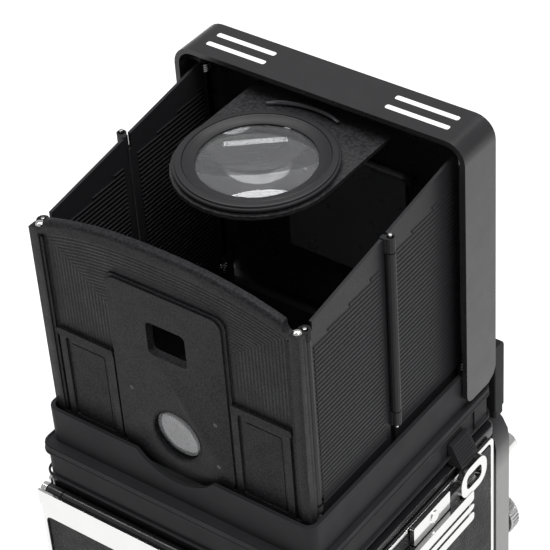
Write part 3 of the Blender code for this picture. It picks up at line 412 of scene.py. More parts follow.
def soften(mesh, width, segments=2):
    """Join a triangulated CAD mesh into flat faces and round its sharp edges."""
    bmesh.ops.remove_doubles(mesh, verts=mesh.verts, dist=0.004 * MM)
    limit = math.radians(1.0)
    bmesh.ops.dissolve_limit(mesh, angle_limit=limit, verts=mesh.verts, edges=mesh.edges)
    if width:
        bevel(mesh, sharp_edges(mesh, CAD_CORNER), width, segments)


def refine(node, mat, width=0.12 * MM, segments=2):
    """A copy of a CAD node with rounded edges, which stands for it."""
    mesh = bmesh.new()
    mesh.from_mesh(frame["nodes"][node].data)
    soften(mesh, width, segments)
    obj = link(node + "_shape", mesh, mat, body_of_node(node))
    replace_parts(obj, node)
    return obj


def on_axis(axis, u, v, w):
    """A point w along axis, with (u, v) on the other two axes."""
    return {"X": (w, u, v), "Y": (u, w, v), "Z": (u, v, w)}[axis]


def ring_points(axis, centre, radius, height, count, wave=None):
    """Points round an axis; wave adds to the radius of each one."""
    points = []
    for i in range(count):
        a = 2 * math.pi * i / count
        r = radius + (wave(i) if wave else 0.0)
        u, v = centre[0] + r * math.cos(a), centre[1] + r * math.sin(a)
        points.append(on_axis(axis, u, v, height))
    return points


def bridge(mesh, first, second):
    """Join two equal closed rows of points with faces."""
    count = len(first)
    for i in range(count):
        j = (i + 1) % count
        mesh.faces.new((first[i], first[j], second[j], second[i]))


def add_turned(mesh, axis, centre, profile, count, ring=False, wave=None):
    """Add a turned shape from (radius, height) pairs; wave knurls the points that have a third value."""
    rows = []
    for point in profile:
        bump = wave if len(point) > 2 else None
        loop = ring_points(axis, centre, point[0], point[1], count, bump)
        rows.append([mesh.verts.new(p) for p in loop])
    pairs = list(zip(rows, rows[1:]))
    if ring:
        pairs.append((rows[-1], rows[0]))
    else:
        mesh.faces.new(rows[0])
        mesh.faces.new(rows[-1])
    for low, high in pairs:
        bridge(mesh, low, high)


def lathe(name, axis, centre, profile, mat, body, count=96, ring=False, wave=None):
    """A turned piece that rides on a body."""
    mesh = bmesh.new()
    add_turned(mesh, axis, centre, profile, count, ring, wave)
    return link(name, mesh, mat, body)


def round_edges(mesh, width):
    """Round every sharp edge of a mesh made here."""
    bevel(mesh, sharp_edges(mesh, NEW_CORNER), width)


def join_rows(mesh, rows):
    """Skin a chain of equal closed rows of points, and cap its two ends."""
    for first, second in zip(rows, rows[1:]):
        bridge(mesh, first, second)
    mesh.faces.new(rows[0])
    mesh.faces.new(rows[-1])


def cut_away(obj, tool_mesh):
    """Cut a mesh out of an object."""
    bmesh.ops.recalc_face_normals(tool_mesh, faces=tool_mesh.faces)
    data = bpy.data.meshes.new("tool")
    tool_mesh.to_mesh(data)
    tool_mesh.free()
    tool = add_object("tool", data)
    step = obj.modifiers.new("cut", "BOOLEAN")
    step.operation = "DIFFERENCE"
    step.solver = "EXACT"
    step.object = tool
    step.use_self = True
    settle(obj)
    bpy.data.objects.remove(tool, do_unlink=True)


def add_box(mesh, low, high):
    """Add a plain block to a mesh that already has other parts in it."""
    size = [h - l for l, h in zip(low, high)]
    centre = [(h + l) / 2 for l, h in zip(low, high)]
    place = Matrix.Translation(centre) @ Matrix.Diagonal((*size, 1))
    bmesh.ops.create_cube(mesh, size=1.0, matrix=place)


def add_slab(mesh, outline, axis, low, high):
    """Add an extruded outline of (u, v) points between two heights on axis."""
    rows = [[mesh.verts.new(on_axis(axis, u, v, w)) for u, v in outline] for w in (low, high)]
    mesh.faces.new(rows[0])
    mesh.faces.new(rows[1])
    bridge(mesh, *rows)


def round_rect(u, v, radius, steps=6):
    """The outline of a rectangle with round corners, from its (low, high) in u and v."""
    points = []
    for cu, cv, start in ((u[1], v[1], 0), (u[0], v[1], 90), (u[0], v[0], 180), (u[1], v[0], 270)):
        mid_u = cu - math.copysign(radius, cu - sum(u) / 2)
        mid_v = cv - math.copysign(radius, cv - sum(v) / 2)
        for i in range(steps + 1):
            a = math.radians(start + 90 * i / steps)
            points.append((mid_u + radius * math.cos(a), mid_v + radius * math.sin(a)))
    return points


# ------------------------------------------------------------------ the hood
def sloped_ribs(mesh, y, face_x, outward, bottom, top_at):
    """Level ribs on a wall, each one ending where the wall's smooth upper margin begins."""
    slope = (top_at(y[0]) - top_at(y[1])) / (y[1] - y[0])
    z = bottom
    while z + RIB_PITCH < top_at(y[0]):
        end = y[1]
        if slope > 0 and z + RIB_PITCH > top_at(y[1]):
            end = y[0] + (top_at(y[0]) - z - RIB_PITCH) / slope
        base, crest = face_x - outward * 0.05 * MM, face_x + outward * RIB_HEIGHT
        outline = [(base, z), (base, z + RIB_PITCH * 0.8)]
        outline += [(crest, z + RIB_PITCH * 0.56), (crest, z + RIB_PITCH * 0.24)]
        if end - y[0] > RIB_PITCH:
            add_slab(mesh, outline, "Y", y[0], end)
        z += RIB_PITCH


def wall_ribs(m, label, part):
    """The pressed ribs on one half of a side wall, on both of its faces."""
    node = f"{part}_wall_{label}"
    front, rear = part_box("front_wall_" + label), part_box("rear_wall_" + label)
    pin_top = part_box("mid_hinge_pin_" + label)[1].z
    mid_y = centre_of("mid_hinge_pin_" + label, "xy")[1]

    def top_at(y):
        return pin_top - 0.9 * MM - WALL_SLOPE * (y - mid_y) - RIB_MARGIN

    y = (front[0].y + RIB_ENDS, mid_y - 2.2 * MM)
    if part == "rear":
        y = (mid_y + 2.6 * MM, rear[1].y - RIB_ENDS)
    mesh = bmesh.new()
    for outward in (-1, 1):
        face_x = SIDES[label] * WALL_MIDDLE + outward * WALL_HALF
        sloped_ribs(mesh, y, face_x, outward, front[0].z + 3.2 * MM, top_at)
    link(f"ribs_{part}_{label}", mesh, m["wall_black"], body_of_node(node))


def add_coil(mesh, centre, radius, wire, low, high, turns):
    """Add a coil spring round an upright line to a mesh."""
    steps, sides = turns * 14, 6
    rows = []
    for i in range(steps + 1):
        a = 2 * math.pi * turns * i / steps
        height = low + (high - low) * i / steps
        row = []
        for k in range(sides):
            b = 2 * math.pi * k / sides
            r = radius + wire * math.cos(b)
            place = (centre[0] + r * math.cos(a), centre[1] + r * math.sin(a), height + wire * math.sin(b))
            row.append(mesh.verts.new(place))
        rows.append(row)
    join_rows(mesh, rows)


def make_hood_springs(m):
    """The coils that push the side walls open, round the lid's hinge pins."""
    for label in SIDES:
        low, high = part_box("front_hinge_pin_" + label)
        centre = centre_of("front_hinge_pin_" + label, "xy")
        mesh = bmesh.new()
        for bottom, top in ((low.z - 3.2 * MM, low.z - 0.3 * MM), (high.z - 4.2 * MM, high.z - 2.2 * MM)):
            add_coil(mesh, centre, 1.15 * MM, 0.17 * MM, bottom, top, 4)
        link("wall_spring_" + label, mesh, m["steel"], "lid")


def make_walls(m):
    """The four wall leaves with their ribs, and the hood's hinge pins."""
    for label in SIDES:
        for part in ("front", "rear"):
            refine(f"{part}_wall_{label}", m["wall_black"], 0.07 * MM)
            wall_ribs(m, label, part)
        for pin, width in (("front_hinge", 0.06), ("mid_hinge", 0.06), ("lid", 0.08), ("rear_hinge", 0.06)):
            refine(f"{pin}_pin_{label}", m["steel"], width * MM)
        make_pin_cap(m, label)
    make_hood_springs(m)


def make_pin_cap(m, label):
    """A bright domed cap on top of the rounded post that holds the rear hinge pin."""
    outline = ((0.95, -0.3), (1.0, 0.1), (0.85, 0.4), (0.55, 0.58), (0.15, 0.65))
    profile = [(r * MM, EAR_TOP + rise * MM) for r, rise in outline]
    centre = (SIDES[label] * EAR_PLACE[0], EAR_PLACE[1])
    body = body_of_node("rear_hinge_pin_" + label)
    lathe("pin_cap_" + label, "Z", centre, profile, m["chrome"], body, 32)


def make_stripes(m):
    """Two pairs of white painted lines on top of the lid."""
    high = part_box("hood_lid")[1]
    mesh = bmesh.new()
    for side in (-1, 1):
        x = sorted((side * STRIPE_NEAR, side * STRIPE_FAR))
        for offset in STRIPE_YS:
            y = high.y + offset
            outline = round_rect(x, (y - STRIPE_WIDTH / 2, y + STRIPE_WIDTH / 2), STRIPE_WIDTH * 0.36)
            add_slab(mesh, outline, "Z", high.z - 0.05 * MM, high.z + 0.03 * MM)
    link("lid_stripes", mesh, m["white_paint"], "lid")


def make_lid(m):
    refine("hood_lid", m["lid_black"], 0.4 * MM, 3)
    refine("finder_flap", m["flap_paint"], 0.12 * MM)
    make_stripes(m)


def panel_arch(x, half, top):
    """The height of the rear panel's arched top at x."""
    return top - CREST_FALL * (abs(x) / half) ** CREST_POWER


def make_panel(m):
    """The hood's rear panel, with a rounded outer edge and notches for the hinge posts."""
    low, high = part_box("rear_panel")
    mesh = bmesh.new()
    mesh.from_mesh(frame["nodes"]["rear_panel"].data)
    soften(mesh, 0)
    outer = []
    for edge in mesh.edges:
        on_face = all(v.co.y > high.y - 0.05 * MM for v in edge.verts)
        at_side = all(abs(v.co.x) > high.x - 0.1 * MM for v in edge.verts)
        at_top = all(v.co.z > panel_arch(v.co.x, high.x, high.z) - 0.25 * MM for v in edge.verts)
        if on_face and (at_side or at_top):
            outer.append(edge)
    bevel(mesh, outer, 1.0 * MM, 4)
    soften(mesh, 0.22 * MM, 2)
    panel = link("rear_panel_shape", mesh, m["panel_black"], "rear_panel")
    notches = bmesh.new()
    for side in (-1, 1):
        x = sorted((side * 29.9 * MM, side * 36 * MM))
        outline = round_rect(x, (EAR_TOP, high.z + 3 * MM), 1.6 * MM)
        add_slab(notches, outline, "Y", low.y - 1 * MM, high.y + 1 * MM)
    cut_away(panel, notches)
    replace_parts(panel, "rear_panel")
    make_panel_ears(m)
    make_panel_details(m, low, high)
    make_eyepiece(m, high.y)


def make_panel_ears(m):
    """The rounded posts that hold the rear hinge pins, at the panel's edges."""
    for label, side in SIDES.items():
        r = EAR_RADIUS
        profile = [(r * 0.8, EAR_TOP - 49 * MM), (r, EAR_TOP - 48.6 * MM), (r, EAR_TOP - 0.7 * MM)]
        profile += [(r * 0.86, EAR_TOP - 0.2 * MM), (r * 0.6, EAR_TOP), (0.3 * MM, EAR_TOP)]
        centre = (side * EAR_PLACE[0], EAR_PLACE[1])
        lathe("ear_" + label, "Z", centre, profile, m["panel_black"], "rear_panel", 40)


def make_panel_details(m, low, high):
    """The step behind the centre plate, the lips on the pads, and the rivets' dimples."""
    field = high.y - 0.8 * MM
    mesh = bmesh.new()
    x, z = (-15.5 * MM, 14.9 * MM), (low.z + 3 * MM, high.z - 10.2 * MM)
    add_loop(mesh, x, z, 2.4 * MM, 1.2 * MM, "Y", field - 0.1 * MM, field + 0.4 * MM)
    for side in (-1, 1):
        x = sorted((side * 15.2 * MM, side * 30.3 * MM))
        top = low.z + 27.0 * MM
        lip = round_rect(x, (top - 1.6 * MM, top + 0.2 * MM), 0.6 * MM)
        add_slab(mesh, lip, "Y", field, high.y + 0.05 * MM)
        rail = sorted((side * 30.6 * MM, side * 31.3 * MM))
        edge = round_rect(rail, (low.z + 4 * MM, high.z - 8.2 * MM), 0.3 * MM)
        add_slab(mesh, edge, "Y", field, high.y - 0.25 * MM)
        inner = (x[0] + 3.0 * MM, x[1] - 3.0 * MM)
        tray = round_rect(inner, (low.z + 3 * MM, top - 3.4 * MM), 0.6 * MM)
        add_slab(mesh, tray, "Y", field, field + 0.32 * MM)
    round_edges(mesh, 0.14 * MM)
    link("panel_trim", mesh, m["wrinkle_black"], "rear_panel")
    dots = bmesh.new()
    for x, z in ((10.9, 19.5), (-10.9, 19.5), (-10.7, 7.8)):
        centre = (x * MM, low.z + z * MM)
        add_turned(dots, "Y", centre, [(0.5 * MM, high.y - 0.02 * MM), (0.5 * MM, high.y + 0.04 * MM)], 16)
        add_turned(dots, "Y", centre, [(0.22 * MM, high.y), (0.2 * MM, high.y + 0.07 * MM)], 12)
    link("panel_rivets", dots, m["satin_black"], "rear_panel")


def make_eyepiece(m, face):
    """The rear window: a domed pane, a grey disc behind it and a low rim around it."""
    low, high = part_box("rear_window_lens")
    centre = centre_of("rear_window_lens", "xz")
    radius = (high.x - low.x) / 2
    back = low.y
    profile = [(radius, back), (radius, back + 0.5 * MM), (radius * 0.85, back + 0.9 * MM)]
    profile += [(radius * 0.6, back + 1.12 * MM), (radius * 0.3, back + 1.22 * MM)]
    profile.append((radius * 0.04, back + 1.25 * MM))
    pane = lathe("rear_window_pane", "Y", centre, profile, m["glass"], "rear_panel", 64)
    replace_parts(pane, "rear_window_lens")
    disc = [(radius, back - 0.5 * MM), (radius, back - 0.15 * MM), (radius * 0.04, back - 0.15 * MM)]
    lathe("rear_window_disc", "Y", centre, disc, m["window_grey"], "rear_panel", 48)
    near, far = radius + 0.1 * MM, radius + 0.75 * MM
    rim = [(near, face - 1.0 * MM), (near, face - 0.1 * MM), (radius + 0.4 * MM, face + 0.08 * MM)]
    rim += [(far, face), (far, face - 1.0 * MM)]
    lathe("rear_window_rim", "Y", centre, rim, m["wrinkle_black"], "rear_panel", 64, True)


def make_magnifier(m):
    """The magnifier's plate, its stepped ring and its domed lens."""
    refine("magnifier_plate", m["plate_black"], 0.15 * MM)
    low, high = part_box("magnifier_ring")
    centre = centre_of("magnifier_ring", "xy")
    outer, top = (high.x - low.x) / 2, high.z
    lens_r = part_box("magnifier_lens")[1].x
    inner = lens_r + 0.3 * MM
    lip = lens_r - 0.9 * MM
    profile = [(inner, low.z), (inner + 0.3 * MM, low.z), (inner + 0.3 * MM, low.z + 1.25 * MM)]
    profile += [(outer - 0.2 * MM, low.z + 1.25 * MM), (outer, low.z + 1.5 * MM), (outer, top - 0.75 * MM)]
    profile += [(outer - 0.12 * MM, top - 0.6 * MM), (outer - 0.45 * MM, top - 0.55 * MM)]
    profile += [(outer - 0.5 * MM, top - 0.15 * MM), (outer - 0.75 * MM, top)]
    profile += [(inner + 1.5 * MM, top), (inner + 1.4 * MM, top - 0.2 * MM)]
    profile += [(inner + 1.15 * MM, top - 0.05 * MM), (inner + 0.9 * MM, top - 0.12 * MM)]
    profile += [(inner, top - 0.7 * MM), (lip, top - 0.85 * MM)]
    profile += [(lip, top - 1.05 * MM), (inner, top - 1.15 * MM)]
    black = m["ring_black"]
    ring = lathe("magnifier_bezel", "Z", centre, profile, black, "magnifier", 128, True)
    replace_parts(ring, "magnifier_ring")
    make_magnifier_glass(m, centre)
    make_plate_rib(m, centre, outer + 3.5 * MM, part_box("magnifier_plate")[1].z)


def make_magnifier_glass(m, centre):
    """The magnifier's lens, domed on both faces."""
    low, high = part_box("magnifier_lens")
    radius = high.x
    upper, lower = [], []
    steps = 32
    for i in range(steps):
        share = 1 - i / (steps - 0.4)
        bulge = 1 - share ** 2
        upper.append((radius * share, high.z - (1 - bulge) * 1.45 * MM + bulge * DOME))
        lower.append((radius * share, low.z + (1 - bulge) * 0.75 * MM - bulge * DOME))
    profile = list(reversed(lower)) + upper
    lens = lathe("magnifier_glass", "Z", centre, profile, m["dusty_glass"], "magnifier", 96)
    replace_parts(lens, "magnifier_lens")


def make_plate_rib(m, centre, radius, face):
    """The raised curved rib on the magnifier's plate, beside the lid, coloured lighter than the plate as a
    painted highlight along its edge.
    """
    mesh = bmesh.new()
    rows = []
    steps, width = 28, 0.33 * MM
    for i in range(steps + 1):
        a = math.radians(-31 + 49 * i / steps)
        rise = 0.45 * MM * min(1, 6 * i / steps, 6 * (steps - i) / steps)
        direction = Vector((-math.sin(a), -math.cos(a), 0))
        middle = Vector((*centre, 0)) + direction * radius
        section = ((-width, -0.1 * MM), (-width * 0.5, rise), (width * 0.5, rise), (width, -0.1 * MM))
        row = []
        for offset, height in section:
            point = middle + direction * offset
            row.append(mesh.verts.new((point.x, point.y, face + height)))
        rows.append(row)
    join_rows(mesh, rows)
    link("plate_rib", mesh, m["edge_black"], "magnifier")


def frame_loop(x, y, radius, inset):
    """A rounded rectangle's outline, moved inward by inset."""
    across, along = (x[0] + inset, x[1] - inset), (y[0] + inset, y[1] - inset)
    return round_rect(across, along, max(radius - inset, 0.1 * MM))


def add_loop(mesh, x, y, radius, width, axis, low, high):
    """Add a raised band that runs round a rounded rectangle, between two heights on axis."""
    rings = []
    for inset, w in ((0, low), (0, high), (width, high), (width, low)):
        rings.append([mesh.verts.new(on_axis(axis, u, v, w)) for u, v in frame_loop(x, y, radius, inset)])
    for k in range(4):
        bridge(mesh, rings[k], rings[(k + 1) % 4])


def make_base(m):
    """The hood's stepped base with its beads, its front cover and its catches."""
    refine("hood_base", m["base_black"], 0.25 * MM, 3)
    low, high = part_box("hood_base")
    mesh = bmesh.new()
    bead_top = low.z + 9.8 * MM
    x, y = (low.x + 0.25 * MM, high.x - 0.25 * MM), (low.y + 0.25 * MM, high.y - 0.25 * MM)
    add_loop(mesh, x, y, 2.8 * MM, 0.35 * MM, "Z", bead_top - 0.1 * MM, bead_top + 0.22 * MM)
    for height in (1.4, 8.0):
        z = low.z + height * MM
        x, y = (low.x - 0.12 * MM, high.x + 0.12 * MM), (low.y, high.y + 0.12 * MM)
        add_loop(mesh, x, y, 3.0 * MM, 0.5 * MM, "Z", z - 0.22 * MM, z + 0.22 * MM)
    round_edges(mesh, 0.08 * MM)
    link("base_line", mesh, m["base_black"], "hood_base")
    make_cover(m)
    for label in SIDES:
        make_catch(m, label)


def make_cover(m):
    """The front cover, with a broadly rounded top edge and a skirt down to the lens board."""
    low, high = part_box("nameplate_cover")
    mesh = bmesh.new()
    mesh.from_mesh(frame["nodes"]["nameplate_cover"].data)
    soften(mesh, 0)
    crest = []
    for edge in mesh.edges:
        at_front = all(v.co.y < low.y + 0.05 * MM for v in edge.verts)
        at_top = all(v.co.z > high.z - 0.05 * MM for v in edge.verts)
        if at_front and at_top:
            crest.append(edge)
    bevel(mesh, crest, 2.9 * MM, 8)
    soften(mesh, 0.3 * MM)
    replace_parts(link("cover_shape", mesh, m["cover_black"], "hood_base"), "nameplate_cover")
    skirt = bmesh.new()
    outline = round_rect((low.x, high.x), (low.y + 0.2 * MM, high.y), 0.8 * MM)
    add_slab(skirt, outline, "Z", low.z - 1.9 * MM, low.z + 0.3 * MM)
    round_edges(skirt, 0.35 * MM)
    link("cover_skirt", skirt, m["cover_black"], "hood_base")


def make_catch(m, label):
    """A sloping tab with ribs along it for the thumb."""
    node = "hood_catch_" + label
    low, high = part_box(node)
    side = SIDES[label]
    root = side * min(abs(low.x), abs(high.x))
    tip = side * max(abs(low.x), abs(high.x))
    bottom, top = low.z - 1.1 * MM, high.z - 1.6 * MM
    y = (low.y + 0.9 * MM, high.y - 1.0 * MM)
    shoulder = root + side * 1.0 * MM
    mesh = bmesh.new()
    outline = [(root, bottom), (tip, bottom), (tip, bottom + 1.1 * MM), (shoulder, top), (root, top)]
    add_slab(mesh, outline, "Y", *y)
    round_edges(mesh, 0.2 * MM)
    count = 7
    for i in range(count):
        share = (i + 0.7) / count
        x = tip + (shoulder - tip) * share
        z = bottom + 1.1 * MM + (top - bottom - 1.1 * MM) * share
        xs = sorted((x - side * 0.3 * MM, x + side * 0.14 * MM))
        add_box(mesh, (xs[0], y[0] + 0.45 * MM, z - 0.2 * MM), (xs[1], y[1] - 0.45 * MM, z + 0.1 * MM))
    catch = link("catch_tab_" + label, mesh, m["base_black"], "catch_" + label)
    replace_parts(catch, node)


# ------------------------------------------------------------------ the body
REFINED = {
    "base_plate": ("satin_chrome", "chrome", 0.25),
    "tripod_bush": ("steel", "steel", 0.15),
    "top_deck": ("deck_black", "grey_metal", 0.5),
    "side_trim_left": ("chrome", "chrome", 0.25),
    "side_trim_right": ("chrome", "chrome", 0.25),
    "side_leather_left": ("leatherette", "leatherette", 0.2),
    "side_leather_right": ("leatherette", "leatherette", 0.2),
    "door_hinge_pin": ("steel", "steel", 0.06),
    "door_latch": ("chrome", "chrome", 0.2),
    "body_shell": ("matt_black", "matt_black", 0.3),
    "lens_standard": ("board_grey", "grey_metal", 0.35),
    "cocking_lever": ("chrome", "chrome", 0.12),
    "release_button": ("chrome", "chrome", 0.25),
    "pressure_plate": ("matt_black", "matt_black", 0.1),
    "focusing_screen": ("screen", "glass", 0.1),
    "take_up_spool": ("matt_black", "matt_black", 0.15),
    "supply_spool": ("matt_black", "matt_black", 0.15),
}
PLAIN = {
    "reflex_mirror": "mirror",
    "light_box": "matt_black",
    "film_roller_upper": "steel",
    "film_roller_lower": "steel",
    "crank_gear": "brass",
    "take_up_gear": "brass",
    "focus_shaft": "steel",
}


def make_body(m):
    """The nodes that keep their CAD shapes, most of them with rounded edges."""
    for node, (mat, slot, width) in REFINED.items():
        refine(node, m[mat], width * MM)
    for node, mat in PLAIN.items():
        data = frame["nodes"][node].data
        data.materials.clear()
        data.materials.append(m[mat])


def add_screw(mesh, axis, centre, face, radius):
    """Add a low round screw head that stands on face; a negative radius points it the other way."""
    way = math.copysign(1, radius)
    r = abs(radius)
    height = [face - way * 0.1 * MM, face + way * 0.2 * MM, face + way * 0.3 * MM]
    add_turned(mesh, axis, centre, [(r, height[0]), (r, height[1]), (r * 0.8, height[2])], 24)


def make_sides(m):
    """The strap fittings: a grooved bar, an eye at its front end, and a block with a screw above it."""
    for label, side in SIDES.items():
        node = "strap_lug_" + label
        low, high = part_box(node)
        outer = side * max(abs(low.x), abs(high.x))
        inner = side * min(abs(low.x), abs(high.x))
        floor = outer - side * 0.75 * MM
        face = outer - side * 1.2 * MM
        bar_y, bar_top = (low.y + 6.2 * MM, high.y), low.z + 8.8 * MM
        mesh = bmesh.new()
        add_slab(mesh, round_rect(bar_y, (low.z, bar_top), 2.2 * MM), "X", *sorted((inner, floor)))
        strip_y = (bar_y[0] + 0.15 * MM, bar_y[1] - 0.3 * MM)
        for start, end in ((0.0, 2.4), (3.3, 5.0), (5.9, 8.8)):
            strip = round_rect(strip_y, (low.z + start * MM, low.z + end * MM), 0.8 * MM)
            add_slab(mesh, strip, "X", *sorted((floor - side * 0.05 * MM, outer)))
        eye_y, eye_z = (low.y + 0.9 * MM, low.y + 11.2 * MM), (bar_top - 0.3 * MM, high.z)
        eye_x = sorted((inner + side * 0.7 * MM, outer - side * 0.1 * MM))
        add_loop(mesh, eye_y, eye_z, 3.4 * MM, 2.1 * MM, "X", *eye_x)
        round_edges(mesh, 0.28 * MM)
        block_y, block_z = (low.y + 14.2 * MM, low.y + 28.4 * MM), (bar_top + 0.4 * MM, bar_top + 5.6 * MM)
        add_slab(mesh, round_rect(block_y, block_z, 0.5 * MM), "X", *sorted((inner, face)))
        add_screw(mesh, "X", (low.y + 20.4 * MM, bar_top + 3.0 * MM), face, side * 1.5 * MM)
        lug = link("strap_fitting_" + label, mesh, m["chrome"], "camera_body")
        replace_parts(lug, node)
        groove_x = sorted((floor - side * 0.1 * MM, floor + side * 0.12 * MM))
        make_strap_groove_shade(m, label, bar_y, bar_top, groove_x, sorted((inner, face)))


def make_strap_groove_shade(m, label, bar_y, bar_top, groove_x, stop_x):
    """Dark slabs in the bar's two grooves and between the eye and the block, as painted shade."""
    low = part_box("strap_lug_" + label)[0]
    mesh = bmesh.new()
    # painted shade: black slabs on the grooves' floors and in the gap between the eye and the block
    for start in (2.4, 5.0):
        groove_z = (low.z + start * MM, low.z + (start + 0.9) * MM)
        groove = round_rect((bar_y[0] + 1.2 * MM, bar_y[1] - 1.2 * MM), groove_z, 0.3 * MM)
        add_slab(mesh, groove, "X", *groove_x)
    stop_y, stop_z = (low.y + 10.2 * MM, low.y + 14.0 * MM), (bar_top - 0.2 * MM, bar_top + 3.6 * MM)
    add_slab(mesh, round_rect(stop_y, stop_z, 0.6 * MM), "X", *stop_x)
    link("strap_painted_shade_" + label, mesh, m["satin_black"], "camera_body")


def make_door(m):
    """The back door: its bright frame, its hinge and its leatherette."""
    refine("back_door", m["chrome"], 0.3 * MM, 3)
    make_door_hinge(m)
    low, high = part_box("back_door")
    mesh = bmesh.new()
    outline = round_rect((-35.35 * MM, 35.35 * MM), (low.z + 4.6 * MM, high.z - 7.65 * MM), 1.3 * MM)
    add_slab(mesh, outline, "Y", high.y - 1.1 * MM, high.y - 1.1 * MM + SKIN)
    round_edges(mesh, 0.15 * MM)
    link("door_leather", mesh, m["leatherette"], "back_door")


def make_door_hinge(m):
    """The door's long sleeve, with the body's knuckle and a bright stud at each end of it."""
    centre = centre_of("door_hinge_pin", "yz")
    r = HINGE_RADIUS
    black, bright = m["deck_black"], m["chrome"]
    sleeve = in_mm([(0.95, -30.9), (r, -30.9), (r, 30.9), (0.95, 30.9)])
    lathe("door_sleeve", "X", centre, sleeve, black, "back_door", 48, True)
    for label, side in SIDES.items():
        knuckle = in_mm([(1.0, 31.1), (r, 31.2), (r, 35.2), (1.0, 35.3)], side)
        lathe("body_knuckle_" + label, "X", centre, knuckle, black, "camera_body", 32, True)
        stud = in_mm([(1.0, 35.3), (r, 35.5), (r, 36.9), (0.3, 36.9)], side)
        lathe("hinge_stud_" + label, "X", centre, stud, bright, "camera_body", 32)


def knurl(step, depth):
    """A wave for add_turned that makes one ridge in every step points."""
    def wave(i):
        return depth * (1 if i % step < step / 2 else -1)
    return wave


def make_knobs(m):
    """The knurled knobs on the left side and the crank on the right."""
    for name in ("spool_knob_upper", "spool_knob_lower"):
        make_spool_knob(m, name)
    make_focus_knob(m)
    make_crank(m)


def make_spool_knob(m, name):
    """A knurled knob on a thin spindle, with a dished end."""
    low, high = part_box(name)
    r, spindle = (high.y - low.y) / 2, 2.8 * MM
    edge, shoulder, dish = r - 0.18 * MM, high.x - 6.0 * MM, high.x - 0.4 * MM
    profile = [(spindle, low.x), (spindle, shoulder), (r * 0.9, shoulder)]
    profile += [(edge, high.x - 5.5 * MM, 1), (edge, high.x - 0.9 * MM, 1), (r * 0.92, high.x - 0.3 * MM)]
    profile += [(r * 0.86, high.x), (r * 0.5, high.x - 0.05 * MM), (r * 0.44, dish), (0.3 * MM, dish)]
    centre, body, wave = centre_of(name, "yz"), body_of_node(name), knurl(4, 0.14 * MM)
    knob = lathe(name + "_knurled", "X", centre, profile, m["chrome"], body, 160, False, wave)
    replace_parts(knob, name)


def make_crank(m):
    """The crank, with a screw over its axle."""
    refine("advance_crank", m["chrome"], 0.4 * MM, 3)
    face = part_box("advance_crank")[0].x + 2.3 * MM
    mesh = bmesh.new()
    add_screw(mesh, "X", centre_of("crank_gear", "yz"), face, -2.6 * MM)
    link("crank_screw", mesh, m["steel"], "crank")


def make_focus_knob(m):
    """The focusing knob: a knurled rim, a dished face and a distance scale."""
    low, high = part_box("focus_knob")
    centre = centre_of("focus_knob", "yz")
    r, bore = (high.y - low.y) / 2, 1.9 * MM
    edge, top, dish = r - 0.22 * MM, high.x - 0.15 * MM, high.x - 0.5 * MM
    profile = [(bore, low.x), (r * 0.9, low.x), (edge, low.x + 0.5 * MM, 1), (edge, high.x - 2.4 * MM, 1)]
    profile += [(r * 0.93, high.x - 1.9 * MM), (r * 0.84, top), (r * 0.34, top)]
    profile += [(r * 0.3, dish), (bore, dish)]
    wave = knurl(4, 0.18 * MM)
    knob = lathe("focus_knob_knurled", "X", centre, profile, m["chrome"], "focus", 240, True, wave)
    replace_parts(knob, "focus_knob")
    near, far, under, over = r * 0.36, r * 0.8, top - 0.1 * MM, top + 0.04 * MM
    face = [(near, under), (near, over), (far, over), (far, under)]
    lathe("focus_scale", "X", centre, face, m["satin_black"], "focus", 96, True)
    marks = bmesh.new()
    for i in range(25):
        a = math.radians(15 + 180 * (i / 24) ** 0.8)
        start = 0.62 if i % 4 == 0 else 0.7
        add_tick(marks, centre, a, r * start, r * 0.78, top + 0.07 * MM, 0.12 * MM, "X")
    link("focus_marks", marks, m["white_paint"], "focus")


def add_tick(mesh, centre, angle, near, far, height, half, axis):
    """Add a flat radial mark to a dial face."""
    u = Vector((math.cos(angle), math.sin(angle)))
    v = Vector((-u.y, u.x)) * half
    place = Vector(centre)
    corners = ((near, -1), (far, -1), (far, 1), (near, 1))
    outline = [tuple(place + u * reach + v * way) for reach, way in corners]
    add_slab(mesh, outline, axis, height - 0.05 * MM, height)


# ------------------------------------------------------------------ the front
def make_front(m):
    """The lens board's covering, both lens mounts, the flash socket and the wheels."""
    low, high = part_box("lens_standard")
    make_board_leather(m, low, high)
    make_lens_mounts(m)
    make_flash_socket(m, low)
    for name in ("speed_wheel", "aperture_wheel"):
        make_wheel(m, name)


def make_wheel(m, name):
    """A knurled wheel beside the lenses, with a dished face and a marked dial."""
    low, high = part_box(name)
    centre, body = centre_of(name, "xz"), body_of_node(name)
    r = (high.x - low.x) / 2
    edge, back, dish = r - 0.14 * MM, BOARD_FACE - 1.6 * MM, low.y + 0.3 * MM
    profile = [(r * 0.3, high.y), (r * 0.3, back), (r * 0.94, back)]
    profile += [(edge, BOARD_FACE - 2.0 * MM, 1), (edge, low.y + 0.5 * MM, 1), (r * 0.93, low.y)]
    profile += [(r * 0.5, low.y), (r * 0.46, dish), (0.4 * MM, dish)]
    mat, wave = m["satin_chrome"], knurl(4, 0.12 * MM)
    wheel = lathe(name + "_knurled", "Y", centre, profile, mat, body, 144, False, wave)
    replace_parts(wheel, name)
    near, far, face = r * 0.5, r * 0.88, low.y - 0.05 * MM
    dial = [(near, low.y), (near, face), (far, face), (far, low.y)]
    lathe(name + "_dial", "Y", centre, dial, m["satin_black"], body, 64, True)
    marks = bmesh.new()
    for i in range(12):
        a = math.radians(30 * i)
        add_tick(marks, centre, a, r * 0.66, r * 0.84, low.y - 0.02 * MM, 0.11 * MM, "Y")
    link(name + "_marks", marks, m["white_paint"], body)


